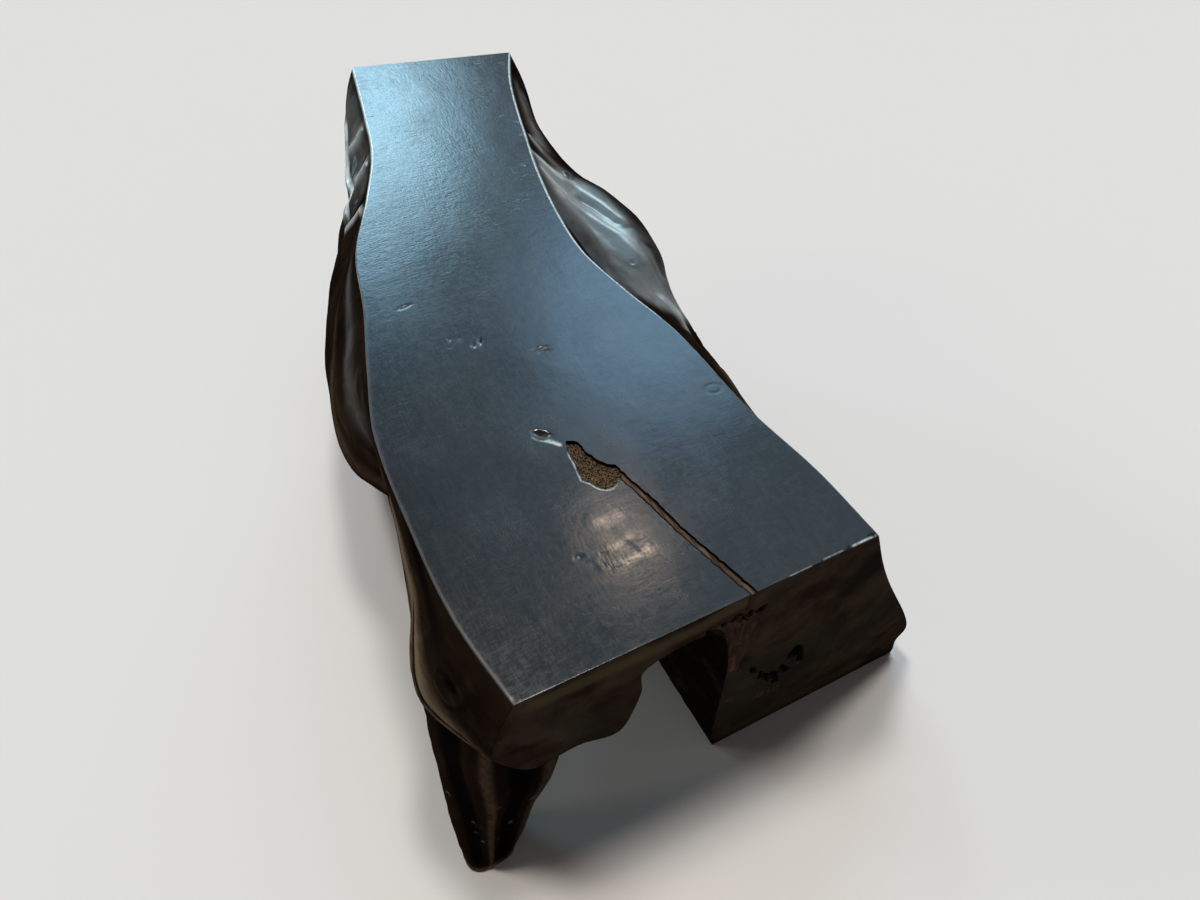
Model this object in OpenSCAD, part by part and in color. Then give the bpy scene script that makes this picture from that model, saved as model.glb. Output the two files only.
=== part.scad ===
// Live edge bench: a hollowed half log, planed flat for a seat, on four root legs.
// Left, right, near and far are as seen from the near end, looking along +Y.
// The origin is on the floor, under the middle of the bench.

/* [Seat] */
// Height of the planed seat above the floor
seat_h = 430; // [410:1:450]
// Run of the seat along Y, between the middles of its two sawn ends
seat_len = 1342; // [1250:1:1430]
// Width of the seat at the near end
near_w = 496; // [470:1:530]
// Width of the seat at its narrowest place
waist_w = 280; // [260:1:310]
// Width of the seat at the far end
far_w = 318; // [290:1:350]
// How far the far end lies to the right of the near end
bend = 188; // [150:1:220]
// Angle of the far saw cut, square to the bent end of the log
far_cut = 13; // [8:0.5:16]

/* [Live edges] */
// How far the left lip stands out beyond the seat's near corner
left_lip = 57; // [45:1:65]
// How far the left lobe stands out beyond the seat's edge
left_lobe = 105; // [90:1:115]
// How far the far left flank stands out
far_left_flank = 54; // [45:1:65]
// How far the right root flares out at the near end
right_root = 161; // [145:1:170]
// How far the right lobe stands out beyond the seat's edge
right_lobe = 200; // [180:1:210]
// How far the far right flank stands out
far_right_flank = 57; // [45:1:70]

/* [Hollow] */
// Thickness of the log's two sides under the seat
log_t = 192; // [182:1:198]
// Wood over the hollow at the near end
crown_t = 64; // [56:1:74]
// Distance from the log's middle line to the left side of the hollow
hollow_left = 80; // [70:1:86]
// Distance from the log's middle line to the right side of the hollow
hollow_right = 64; // [56:1:72]

/* [Root blocks] */
// How far below the seat the planed joint faces of the root blocks lie
joint_drop = 230; // [222:1:240]
// Length of the near right block along the bench
near_right_len = 320; // [280:1:350]
// Middle of the far left leg, as a share of the seat's length
far_left_at = 0.6; // [0.57:0.01:0.63]
// Length of the far left leg's foot along the bench
far_left_len = 220; // [190:1:250]
// Middle of the far right leg, as a share of the seat's length
far_right_at = 0.64; // [0.61:0.01:0.67]
// Length of the far right leg's foot along the bench
far_right_len = 200; // [160:1:230]
// Run along the bench in which the near right block rises to the underside
near_rise = 95; // [80:1:110]
// Run in which a far leg's root rises to the underside, at each of its ends
far_rise = 140; // [110:1:160]

/* [Near left leg] */
// How far below the seat the flat top of its tenon lies
tenon_drop = 156; // [148:1:164]
// Width of its foot
fin_foot_w = 69; // [58:1:80]
// Depth of its foot along the bench
fin_foot_d = 78; // [66:1:92]
// Width of its head where it is scribed to the seat
fin_head_w = 166; // [156:1:172]
// Depth of its head along the bench
fin_head_d = 212; // [196:1:226]
// Width of the tenon on its head
tenon_w = 88; // [76:1:96]
// Depth of the tenon along the bench
tenon_d = 150; // [130:1:164]
// Clearance of the tenon in its socket, and of the scribed joint round it
socket_gap = 0.3; // [0.2:0.1:0.5]

/* [Dowels] */
// Diameter of the hidden dowels
dowel_d = 25; // [20:1:30]
// Length of the hidden dowels
dowel_len = 90; // [70:2:110]
// Clearance round a dowel in its bore
dowel_gap = 0.1; // [0.05:0.05:0.2]
// Glue space over a dowel in the seat's bore
glue_space = 2; // [1:0.5:4]

/* [Knot and crack] */
// Distance of the knot hole from the near end
knot_y = 260; // [245:1:275]
// Depth of the knot hole
knot_deep = 24; // [16:1:30]
// How far the knot's filling lies below the seat
knot_low = 5; // [3:1:8]
// Width of the crack that runs from the knot to the near end
crack_w = 11; // [8:1:14]
// Depth of the crack
crack_deep = 34; // [24:1:40]
// How far the crack's filling lies below the seat
crack_low = 1.5; // [1:0.5:3]

/* [Hidden] */
$fn = 48;

// Heights of the planed joint faces, and of the near left leg's tenon
joint_h = seat_h - joint_drop;
fin_h = seat_h - tenon_drop;

// Wood sawn or planed off beyond the finished ends, seat and feet
waste = 12;
// Number of cross-sections along the log, and of points in each span of a section
stations = 56;
span_points = 3;

log_colour = [0.16, 0.12, 0.10];
leg_colour = [0.13, 0.09, 0.07];
raw_colour = [0.42, 0.29, 0.19];
fill_colour = [0.35, 0.26, 0.18];

// Smooth step from 0 to 1
function ramp(t) = let (c = max(0, min(1, t))) c * c * (3 - 2 * c);
function mix(a, b, t) = a + (b - a) * t;

// A smooth curve through knots [share of the length, value]
function span(k, s, i = 0) = (i >= len(k) - 2 || s <= k[i + 1][0]) ? i : span(k, s, i + 1);
function grade(k, i) =
    let (a = max(i - 1, 0), b = min(i + 1, len(k) - 1))
    (k[b][1] - k[a][1]) / (k[b][0] - k[a][0]);
function along(k, s) =
    let (i = span(k, s), h = k[i + 1][0] - k[i][0], t = (s - k[i][0]) / h)
    (2 * t ^ 3 - 3 * t ^ 2 + 1) * k[i][1] + (t ^ 3 - 2 * t ^ 2 + t) * h * grade(k, i)
    + (3 * t ^ 2 - 2 * t ^ 3) * k[i + 1][1] + (t ^ 3 - t ^ 2) * h * grade(k, i + 1);

// The log's middle line, as shares of the bend, and the seat's width along it
SPINE = [[0, 0.005], [0.09, -0.057], [0.185, -0.105], [0.32, -0.095], [0.41, -0.07],
         [0.5, -0.01], [0.59, 0.1], [0.685, 0.33], [0.775, 0.55], [0.865, 0.715],
         [0.93, 0.84], [1, 1]];
WIDTH = [[0, near_w], [0.09, near_w * 1.022], [0.185, near_w * 0.985], [0.32, near_w * 0.943],
         [0.41, near_w * 0.833], [0.5, near_w * 0.726], [0.59, near_w * 0.684],
         [0.685, waist_w * 1.07], [0.775, waist_w], [0.865, waist_w * 1.015],
         [0.93, mix(waist_w, far_w, 0.4)], [1, far_w]];

// How far each flank stands out, and how far below the seat its lip lies
LEFT_OUT = [[0, left_lip * 0.54], [0.045, left_lip * 0.86], [0.08, left_lip * 1.04],
            [0.105, left_lip * 0.97], [0.135, left_lip * 0.77], [0.165, left_lip * 0.49],
            [0.21, left_lip * 0.28], [0.26, 4], [0.3, 0], [0.335, 0], [0.36, left_lobe * 0.2],
            [0.385, left_lobe * 0.43], [0.41, left_lobe * 0.565], [0.44, left_lobe * 0.665],
            [0.48, left_lobe * 0.745], [0.54, left_lobe * 0.78], [0.6, left_lobe * 0.8],
            [0.65, left_lobe * 0.88], [0.7, left_lobe * 0.95], [0.75, left_lobe * 0.92],
            [0.77, left_lobe * 0.82], [0.79, left_lobe * 0.68], [0.81, far_left_flank * 1.12],
            [0.84, far_left_flank], [0.88, far_left_flank * 0.86],
            [0.95, far_left_flank * 0.65], [1, far_left_flank * 0.5]];
LEFT_DROP = [[0, 102], [0.15, 116], [0.28, 120], [0.34, 152], [0.44, 158], [0.54, 188],
             [0.62, 198], [0.76, 196], [0.8, 178], [0.83, 124], [0.87, 112], [1, 96]];
// Share of the lip's reach that the flank has half-way down: low is scooped, high is full
LEFT_FULL = [[0, 0.6], [0.1, 0.34], [0.25, 0.4], [0.42, 0.62], [0.7, 0.64], [0.8, 0.62],
             [0.85, 0.42], [1, 0.6]];
RIGHT_OUT = [[0, right_root], [0.14, right_root * 0.95], [0.19, right_root * 0.7],
             [0.24, right_lobe * 0.45], [0.3, right_lobe * 0.49], [0.37, right_lobe * 0.59],
             [0.42, right_lobe * 0.71], [0.46, right_lobe * 0.79], [0.5, right_lobe * 0.87],
             [0.54, right_lobe * 0.94], [0.58, right_lobe], [0.63, right_lobe * 1.01],
             [0.67, right_lobe * 0.99], [0.7, right_lobe * 0.94], [0.745, right_lobe * 0.8],
             [0.78, right_lobe * 0.64], [0.83, right_lobe * 0.49], [0.88, right_lobe * 0.38],
             [0.93, far_right_flank], [1, far_right_flank * 0.65]];
RIGHT_DROP = [[0, 330], [0.14, 318], [0.19, 230], [0.24, 142], [0.5, 136], [0.75, 132],
              [1, 110]];
RIGHT_FULL = [[0, 0.348], [0.2, 0.4], [0.32, 0.5], [0.5, 0.36], [0.66, 0.35], [0.78, 0.42],
              [1, 0.6]];
// Thickness of the sides and of the crown along the log
SIDE_T = [[0, log_t], [0.3, log_t], [0.7, log_t * 0.95], [1, log_t * 0.82]];
CROWN_T = [[0, crown_t], [0.3, crown_t * 1.15], [0.7, crown_t * 1.3], [1, crown_t * 1.35]];
// How much of the hollow's width is left along the log
HOLLOW = [[0, 1], [0.35, 0.95], [0.6, 0.8], [1, 0.68]];

// Least height of a lip over the underside
lip_room = 46;
// Height of the upright edge that the plane leaves round the seat
arris = 2;
// Lean of the near right block's inner wall, to the right in each mm along the bench
near_lean = 0.1;

function spine(s) = along(SPINE, s) * bend;
function turn(s) = -far_cut * ramp((s - 0.35) / 0.5);

// Where the root blocks are, as 1 on a block and 0 away from it
far_left_y = far_left_at * seat_len;
far_right_y = far_right_at * seat_len;
function block(y, mid, length) = 1 - ramp((abs(y - mid) - length / 2) / far_rise);
function left_root(y) = block(y, far_left_y, far_left_len);
function right_near_root(y) = 1 - ramp((y - near_right_len + near_rise) / near_rise);
function right_far_root(y) = block(y, far_right_y, far_right_len);

// The cross-section's control points at one place, as [across, up]
function controls(s) =
    let (y = s * seat_len, half = along(WIDTH, s) / 2, side = seat_h - along(SIDE_T, s),
         crown = seat_h - along(CROWN_T, s), width = along(HOLLOW, s),
         hl = -hollow_left * width, hr = hollow_right * width,
         lr = left_root(y), nr = right_near_root(y), rr = max(nr, right_far_root(y)),
         lo = along(LEFT_OUT, s), ld = along(LEFT_DROP, s), lf = along(LEFT_FULL, s),
         ro = along(RIGHT_OUT, s), rd = along(RIGHT_DROP, s), rf = along(RIGHT_FULL, s),
         lz = mix(side, -waste, lr), rz = mix(side, -waste, rr),
         open = (1 - lr) * (1 - ramp(s * 5)),
         lip = [-half - lo, max(seat_h - ld, lz + lip_room * 0.7)],
         rim = [half + ro, max(seat_h - rd, rz + lip_room)],
         mid = mix(0.45, 0.62, ramp((s - 0.42) / 0.2) * ramp((0.86 - s) / 0.06)),
         lfoot = [-half - lo + mix(52, 62, lr), lz],
         linner = [mix(hl - 28, hl - 42, lr), lz - 14 * open],
         rinner = [mix(hr + 12, hr + mix(30, 4 + near_lean * y, nr), rr), rz],
         rfoot = [half + ro - mix(46, mix(82, 20, nr), rr), rz])
    [[-half, seat_h - arris],
     [-half - lo * lf, mix(seat_h, lip[1], mid)],
     lip,
     (lip + lfoot) / 2 + [-9, 0],
     lfoot,
     (lfoot + linner) / 2 + [0, 12 * open],
     linner,
     [hl - 2, (lz + crown) / 2],
     [hl + 3, crown],
     [hr - 50, crown + 6],
     [hr - 14, max(crown - crown_t * 1.56, side + 8)],
     rinner,
     mix(rinner, rfoot, 0.35),
     rfoot,
     (rim + rfoot) / 2 + [8, 0],
     rim,
     [half + ro * rf, mix(seat_h, rim[1], mix(0.5, 0.4, nr))],
     [half, seat_h - arris]];

// A smooth line through control points
function smooth_at(p, i, t) =
    let (last = len(p) - 1, a = p[max(i - 1, 0)], b = p[i], c = p[i + 1],
         d = p[min(i + 2, last)])
    (2 * b + (c - a) * t + (2 * a - 5 * b + 4 * c - d) * t ^ 2
     + (3 * b - a - 3 * c + d) * t ^ 3) / 2;
function smooth_line(p) =
    [for (i = [0 : len(p) - 2], k = [0 : span_points - 1]) smooth_at(p, i, k / span_points),
     p[len(p) - 1]];

// The closed section, with waste wood standing over the seat
function section(s) =
    let (c = controls(s), half = along(WIDTH, s) / 2)
    concat([[-half, seat_h + waste]], smooth_line(c), [[half, seat_h + waste]]);

// A point of the section in the bench's space
function placed(s, p) =
    let (a = turn(s))
    [spine(s) + p[0] * cos(a), s * seat_len + p[0] * sin(a), p[1]];

// Faces of a skin over rings of n points
function skin_faces(rings, n) = concat(
    [[for (i = [n - 1 : -1 : 0]) i]],
    [for (j = [0 : rings - 2], i = [0 : n - 1], h = [0, 1])
        let (a = j * n, b = a + n, k = (i + 1) % n)
        h == 0 ? [a + i, a + k, b + k] : [a + i, b + k, b + i]],
    [[for (i = [0 : n - 1]) (rings - 1) * n + i]]);

// The log with its root blocks, between two shares of its length, uncut
module log_skin(from = -waste / seat_len, to = 1 + waste / seat_len) {
    steps = ceil((to - from) * stations);
    rings = [for (j = [0 : steps]) let (s = mix(from, to, j / steps))
        [for (p = section(s)) placed(s, p)]];
    n = len(rings[0]);
    polyhedron([for (r = rings) each r], skin_faces(len(rings), n));
}

// Room that the near saw cut, the far saw cut and two level planes leave
module sawn(low, high) {
    big = 3 * seat_len;
    intersection() {
        translate([-big / 2, 0, low])
            cube([big, big, high - low]);
        translate([bend, seat_len, low])
            rotate(-far_cut)
                translate([-big / 2, -big, 0])
                    cube([big, big, high - low]);
    }
}

// Room on one side of the log's middle line, between two shares of its length
module side_of(from, to, side) {
    steps = 6;
    line = [for (j = [0 : steps]) placed(mix(from, to, j / steps), [0, 0])];
    out = [for (j = [steps : -1 : 0]) placed(mix(from, to, j / steps), [side * near_w, 0])];
    translate([0, 0, -2 * waste])
        linear_extrude(seat_h)
            polygon([for (p = concat(line, out)) [p[0], p[1]]]);
}

// Near left leg: rings as [height, left side, right side, front, back, squareness], with the
// heights as shares of the seat's and the sides measured from the seat's near left corner
fin_left = -83;
fin_front = -11;
fin_rings = 12;
fin_top = 0.7 * seat_h;
function fin_wide(t) = fin_left + mix(fin_foot_w, fin_head_w, t);
function fin_deep(t) = fin_front + mix(fin_foot_d, fin_head_d, t);
FIN = [[0, fin_left, fin_wide(0), fin_front, fin_deep(0), 3.4],
       [0.105 * seat_h, fin_left - 3, fin_wide(0.23), fin_front + 4, fin_deep(0.11), 3.2],
       [0.233 * seat_h, fin_left - 3, fin_wide(0.52), fin_front + 11, fin_deep(0.38), 3],
       [0.367 * seat_h, fin_left + 2, fin_wide(0.94), fin_front + 17, fin_deep(0.68), 3],
       [0.523 * seat_h, fin_left + 8, fin_wide(1) + 16, fin_front + 23, fin_deep(1) + 23, 3],
       [0.609 * seat_h, fin_left + 15, fin_wide(1) + 22, fin_front + 25, fin_deep(1) + 27, 2.8],
       [0.698 * seat_h, fin_left + 23, fin_wide(1) + 24, fin_front + 27, fin_deep(1) + 31, 2.6]];
function fin_value(k, z) = along([for (f = FIN) [f[0], f[k]]], z);
// Outline of the leg at a height, with root ridges
function fin_ring(z) =
    let (l = fin_value(1, z), r = fin_value(2, z), f = fin_value(3, z), b = fin_value(4, z),
         q = fin_value(5, z))
    [for (i = [0 : 43])
        let (a = -i * 360 / 44, full = (abs(cos(a)) ^ q + abs(sin(a)) ^ q) ^ (-1 / q),
             ridge = full * (1 + 0.025 * ramp(z / 60) * cos(5 * a + 200)))
        [(l + r - near_w) / 2 + (r - l) / 2 * ridge * cos(a),
         (f + b) / 2 + (b - f) / 2 * ridge * sin(a)]];

// The tenon's outline
tenon_at = [(FIN[4][1] + FIN[4][2] - near_w) / 2 + 14, (FIN[4][3] + FIN[4][4]) / 2];
tenon_round = 14;
module tenon_outline(grow = 0) {
    translate(tenon_at)
        offset(tenon_round + grow)
            square([tenon_w, tenon_d] - 2 * [tenon_round, tenon_round], center = true);
}

// Dowel places: [across, along, height of the joint]
near_left_spots = [for (k = [-0.27, 0.27])
    [tenon_at[0], tenon_at[1] + k * tenon_d, fin_h]];
near_right_spots = [for (k = [0.27, 0.66])
    [hollow_right + (near_w / 2 - hollow_right) * 0.55, near_right_len * k, joint_h]];
function leg_spots(y, length, out) = [for (k = [-0.3, 0.3])
    let (at = y + k * length, s = at / seat_len, p = placed(s, [out(s), 0]))
    [p[0], p[1], joint_h]];
far_left_spots = leg_spots(far_left_y, far_left_len,
    function (s) -(along(WIDTH, s) / 2 + hollow_left * along(HOLLOW, s)) / 2 - 22);
far_right_spots = leg_spots(far_right_y, far_right_len,
    function (s) along(WIDTH, s) / 2 + 12);

module dowels(spots) {
    for (p = spots)
        translate([p[0], p[1], p[2] - dowel_len / 2])
            cylinder(d = dowel_d, h = dowel_len);
}

module dowel_bores(spots) {
    for (p = spots)
        translate([p[0], p[1], p[2] - dowel_len / 2])
            cylinder(d = dowel_d + 2 * dowel_gap, h = dowel_len + glue_space);
}

// The knot hole's outline, and the crack from it to the near end
KNOT = [[-29, 50], [-16, 43], [-13, 23], [-6, 2], [10, -14], [12, -30], [2, -40], [-10, -46],
        [-25, -42], [-33, -26], [-40, -19], [-38, -1], [-35, 22]];
CRACK = [[8, -30], [15, -58], [22, -93], [33, -148], [46, -196], [66, -knot_y - waste]];

module knot_outline() {
    translate([0, knot_y])
        polygon([for (i = [len(KNOT) - 1 : -1 : 0]) KNOT[i]]);
}

module crack_outline() {
    left = [for (p = CRACK) [p[0] - crack_w / 2, p[1]]];
    right = [for (i = [len(CRACK) - 1 : -1 : 0]) [CRACK[i][0] + crack_w / 2, CRACK[i][1]]];
    difference() {
        translate([0, knot_y])
            polygon(concat(left, right));
        knot_outline();
    }
}

// Wood broken out of the near end: over the joint of the right block, as heights from the
// joint, and under the crown, as heights from the seat
BREAK = [[54, 40], [80, 26], [108, 10], [140, 14], [164, 20], [180, -4], [197, -28],
         [190, -42], [166, -44], [146, -60], [118, -48], [88, -40], [66, -62], [54, -40]];
SHAKE = [[6, -58], [28, -49], [48, -52], [60, -42], [74, -42], [88, -56], [76, -51],
         [62, -49], [50, -60], [26, -59], [14, -68]];
break_deep = 14;
shake_deep = 26;

module near_breaks() {
    for (b = [[BREAK, break_deep, joint_h], [SHAKE, shake_deep, seat_h]])
        translate([0, b[1], b[2]])
            rotate([90, 0, 0])
                linear_extrude(b[1] + waste)
                    polygon(b[0]);
}

// Middle of the bench, which the origin lies under
middle = [
    (placed(0, [near_w / 2 + right_root, 0])[0] - near_w / 2 + fin_left + 4) / 2,
    (placed(1, [-far_w / 2 - far_left_flank * 0.55, 0])[1] + fin_front + 1) / 2,
    0];

module centred() {
    translate(-middle)
        children();
}

module seat_slab() {
    color(log_colour)
        centred()
            difference() {
                intersection() {
                    log_skin();
                    sawn(joint_h, seat_h);
                }
                translate([0, 0, joint_h])
                    linear_extrude(fin_h - joint_h)
                        tenon_outline(socket_gap);
                dowel_bores(near_left_spots);
                dowel_bores(near_right_spots);
                dowel_bores(far_left_spots);
                dowel_bores(far_right_spots);
                translate([0, 0, seat_h - knot_deep])
                    linear_extrude(knot_deep + waste)
                        knot_outline();
                translate([0, 0, seat_h - crack_deep])
                    linear_extrude(crack_deep + waste)
                        crack_outline();
                near_breaks();
            }
}

module near_right_leg() {
    color(log_colour)
        centred()
            difference() {
                intersection() {
                    log_skin(to = (near_right_len + waste) / seat_len);
                    sawn(0, joint_h);
                    side_of(-waste / seat_len, (near_right_len + waste) / seat_len, 1);
                }
                dowel_bores(near_right_spots);
                near_breaks();
            }
}

module far_leg(mid, length, side, spots) {
    from = (mid - length / 2 - far_rise) / seat_len;
    to = (mid + length / 2 + far_rise) / seat_len;
    color(leg_colour)
        centred()
            difference() {
                intersection() {
                    log_skin(from, to);
                    sawn(0, joint_h);
                    side_of(from, to, side);
                }
                dowel_bores(spots);
            }
}

module far_left_leg() {
    far_leg(far_left_y, far_left_len, -1, far_left_spots);
}

module far_right_leg() {
    far_leg(far_right_y, far_right_len, 1, far_right_spots);
}

module near_left_leg() {
    rings = [for (j = [0 : fin_rings])
        let (z = fin_top * j / fin_rings) [for (p = fin_ring(z)) [p[0], p[1], z]]];
    n = len(rings[0]);
    color(leg_colour)
        centred()
            difference() {
                union() {
                    difference() {
                        polyhedron([for (r = rings) each r], skin_faces(len(rings), n));
                        translate([-socket_gap, 0, -socket_gap])
                            log_skin(to = 0.25);
                    }
                    translate([0, 0, joint_h])
                        linear_extrude(fin_h - joint_h)
                            tenon_outline();
                }
                dowel_bores(near_left_spots);
            }
}

module near_right_dowels() {
    color(raw_colour)
        centred()
            dowels(near_right_spots);
}

module near_left_dowels() {
    color(raw_colour)
        centred()
            dowels(near_left_spots);
}

module far_left_dowels() {
    color(raw_colour)
        centred()
            dowels(far_left_spots);
}

module far_right_dowels() {
    color(raw_colour)
        centred()
            dowels(far_right_spots);
}

module knot_filling() {
    color(fill_colour)
        centred()
            translate([0, 0, seat_h - knot_deep])
                linear_extrude(knot_deep - knot_low)
                    knot_outline();
}

module crack_filling() {
    color(fill_colour)
        centred()
            intersection() {
                translate([0, 0, seat_h - crack_deep])
                    linear_extrude(crack_deep - crack_low)
                        crack_outline();
                sawn(0, seat_h);
            }
}

seat_slab();
near_right_leg();
near_left_leg();
far_left_leg();
far_right_leg();
near_right_dowels();
near_left_dowels();
far_left_dowels();
far_right_dowels();
knot_filling();
crack_filling();
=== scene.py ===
"""Live edge bench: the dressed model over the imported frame.

Lengths are in millimetres and measured from the near edge of the seat, as in the part's
source, until to_frame() turns them into the frame's metres. Left, right, near and far are
as seen from the near end, looking along +Y.
"""
import math

import bmesh
import bpy
import numpy as np
from mathutils import Matrix, Vector
from mathutils.geometry import delaunay_2d_cdt


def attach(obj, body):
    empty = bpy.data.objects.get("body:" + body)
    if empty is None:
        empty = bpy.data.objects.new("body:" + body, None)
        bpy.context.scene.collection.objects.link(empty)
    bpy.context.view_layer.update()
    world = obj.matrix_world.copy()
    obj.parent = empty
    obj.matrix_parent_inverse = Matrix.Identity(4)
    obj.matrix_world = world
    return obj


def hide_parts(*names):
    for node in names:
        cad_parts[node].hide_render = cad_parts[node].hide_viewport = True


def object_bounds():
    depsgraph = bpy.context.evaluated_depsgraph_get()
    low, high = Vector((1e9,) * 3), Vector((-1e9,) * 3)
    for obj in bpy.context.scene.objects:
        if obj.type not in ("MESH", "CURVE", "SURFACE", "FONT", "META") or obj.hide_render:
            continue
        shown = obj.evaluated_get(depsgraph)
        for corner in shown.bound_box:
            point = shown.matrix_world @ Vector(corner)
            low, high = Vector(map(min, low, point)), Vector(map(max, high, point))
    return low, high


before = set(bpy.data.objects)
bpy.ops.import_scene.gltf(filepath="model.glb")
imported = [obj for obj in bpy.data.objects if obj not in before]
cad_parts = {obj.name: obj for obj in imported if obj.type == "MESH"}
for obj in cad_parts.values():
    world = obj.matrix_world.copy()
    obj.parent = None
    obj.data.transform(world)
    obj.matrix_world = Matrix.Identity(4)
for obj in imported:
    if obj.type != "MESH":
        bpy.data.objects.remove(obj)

cad_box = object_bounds()

# Driving sizes, as in the part's source
SEAT_H, SEAT_LEN = 430.0, 1342.0
NEAR_W, WAIST_W, FAR_W = 496.0, 280.0, 318.0
BEND, FAR_CUT = 188.0, 13.0
LEFT_LIP, LEFT_LOBE, FAR_LEFT_FLANK = 57.0, 105.0, 54.0
RIGHT_ROOT, RIGHT_LOBE, FAR_RIGHT_FLANK = 161.0, 200.0, 57.0
LOG_T, CROWN = 192.0, 64.0
HOLLOW_LEFT, HOLLOW_RIGHT = 80.0, 64.0
JOINT_H = SEAT_H - 230.0
NEAR_RIGHT_LEN, NEAR_RISE, FAR_RISE = 320.0, 95.0, 140.0
FAR_LEFT_Y, FAR_LEFT_LEN = 0.6 * SEAT_LEN, 220.0
FAR_RIGHT_Y, FAR_RIGHT_LEN = 0.64 * SEAT_LEN, 200.0
WASTE, LIP_ROOM, ARRIS, NEAR_LEAN = 12.0, 46.0, 2.0, 0.1
FIN_H, FIN_TOP = SEAT_H - 156.0, 0.7 * SEAT_H
FIN_FOOT_W, FIN_FOOT_D, FIN_HEAD_W, FIN_HEAD_D = 69.0, 78.0, 166.0, 212.0
FIN_LEFT, FIN_FRONT = -83.0, -11.0
TENON_W, TENON_D, TENON_ROUND, SOCKET_GAP = 88.0, 150.0, 14.0, 0.3
DOWEL_D, DOWEL_LEN, DOWEL_GAP, GLUE_SPACE = 25.0, 90.0, 0.1, 2.0
KNOT_DEEP, KNOT_LOW = 24.0, 5.0
CRACK_W, CRACK_DEEP, CRACK_LOW = 11.0, 34.0, 1.5

MATERIALS = ["seat_top", "live_edge", "saw_cut", "hollow", "raw_wood"]


# Curves and noise
def ramp(t):
    """Smooth step from 0 to 1."""
    t = np.clip(t, 0.0, 1.0)
    return t * t * (3 - 2 * t)


def mix(a, b, t):
    return a + (b - a) * t


def along(knots, s):
    """A smooth curve through knots of (share of the length, value)."""
    x, v = np.array(knots, float).T
    last = len(x) - 1
    before = np.maximum(np.arange(last + 1) - 1, 0)
    after = np.minimum(np.arange(last + 1) + 1, last)
    grade = (v[after] - v[before]) / (x[after] - x[before])
    i = np.clip(np.searchsorted(x, s, side="left") - 1, 0, last - 1)
    h = x[i + 1] - x[i]
    t = (s - x[i]) / h
    return ((2 * t**3 - 3 * t**2 + 1) * v[i] + (t**3 - 2 * t**2 + t) * h * grade[i]
            + (3 * t**2 - 2 * t**3) * v[i + 1] + (t**3 - t**2) * h * grade[i + 1])


def shares(value, *knots):
    return [(s, value * share) for s, share in knots]


def lattice(ix, iy, iz, seed):
    """A repeatable random number from -1 to 1 for each whole-number place."""
    mask = np.uint64(0xFFFFFFFF)
    h = (ix.astype(np.int64) * 374761393 + iy.astype(np.int64) * 668265263
         + iz.astype(np.int64) * 1440662683 + seed * 974634777).astype(np.uint64) & mask
    h = ((h ^ (h >> np.uint64(13))) * np.uint64(1274126177)) & mask
    h = ((h ^ (h >> np.uint64(16))) * np.uint64(2246822519)) & mask
    return (h ^ (h >> np.uint64(15))).astype(float) / 2**31 - 1


def noise(p, size, seed=0):
    """Smooth noise from about -1 to 1, with lumps of the given size on each axis."""
    q = np.asarray(p, float) / np.asarray(size, float)
    cell = np.floor(q)
    t = q - cell
    t = t * t * t * (t * (t * 6 - 15) + 10)
    total = 0.0
    for dx in (0, 1):
        for dy in (0, 1):
            for dz in (0, 1):
                w = ((t[..., 0] if dx else 1 - t[..., 0])
                     * (t[..., 1] if dy else 1 - t[..., 1])
                     * (t[..., 2] if dz else 1 - t[..., 2]))
                total = total + w * lattice(cell[..., 0] + dx, cell[..., 1] + dy,
                                            cell[..., 2] + dz, seed)
    return total


def rough_noise(p, size, seed=0, octaves=3):
    size = np.asarray(size, float)
    return sum(noise(p, size / 2**k, seed + 17 * k) / 2**k for k in range(octaves))


def flat(x, y):
    """Points on the ground plane, for noise that needs no height."""
    return np.stack([x, y, 0 * x], -1)


def outward(ring):
    """Unit vectors at right angles to a closed outline, at each of its points."""
    run = np.roll(ring, -1, 0) - np.roll(ring, 1, 0)
    return np.stack([run[:, 1], -run[:, 0]], -1) / np.linalg.norm(run, axis=1)[:, None]


def seen_from(x, y, x0, y0, heading, long, wide):
    """Places from (x0, y0) along and across a heading in degrees, in a mark's own lengths."""
    a = math.radians(heading)
    return (((x - x0) * math.cos(a) + (y - y0) * math.sin(a)) / long,
            ((y - y0) * math.cos(a) - (x - x0) * math.sin(a)) / wide)


def near_line(x, y, points):
    """Distance from each (x, y) to a polyline, and the share of its run there."""
    points = np.array(points, float)
    best = np.full(np.shape(x), 1e9)
    share = np.zeros(np.shape(x))
    run = np.concatenate([[0], np.cumsum(np.linalg.norm(np.diff(points, axis=0), axis=1))])
    for i in range(len(points) - 1):
        a, d = points[i], points[i + 1] - points[i]
        t = np.clip(((x - a[0]) * d[0] + (y - a[1]) * d[1]) / (d @ d), 0, 1)
        dist = np.hypot(x - a[0] - t * d[0], y - a[1] - t * d[1])
        closer = dist < best
        best = np.where(closer, dist, best)
        share = np.where(closer, (run[i] + t * np.hypot(*d)) / run[-1], share)
    return best, share


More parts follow.
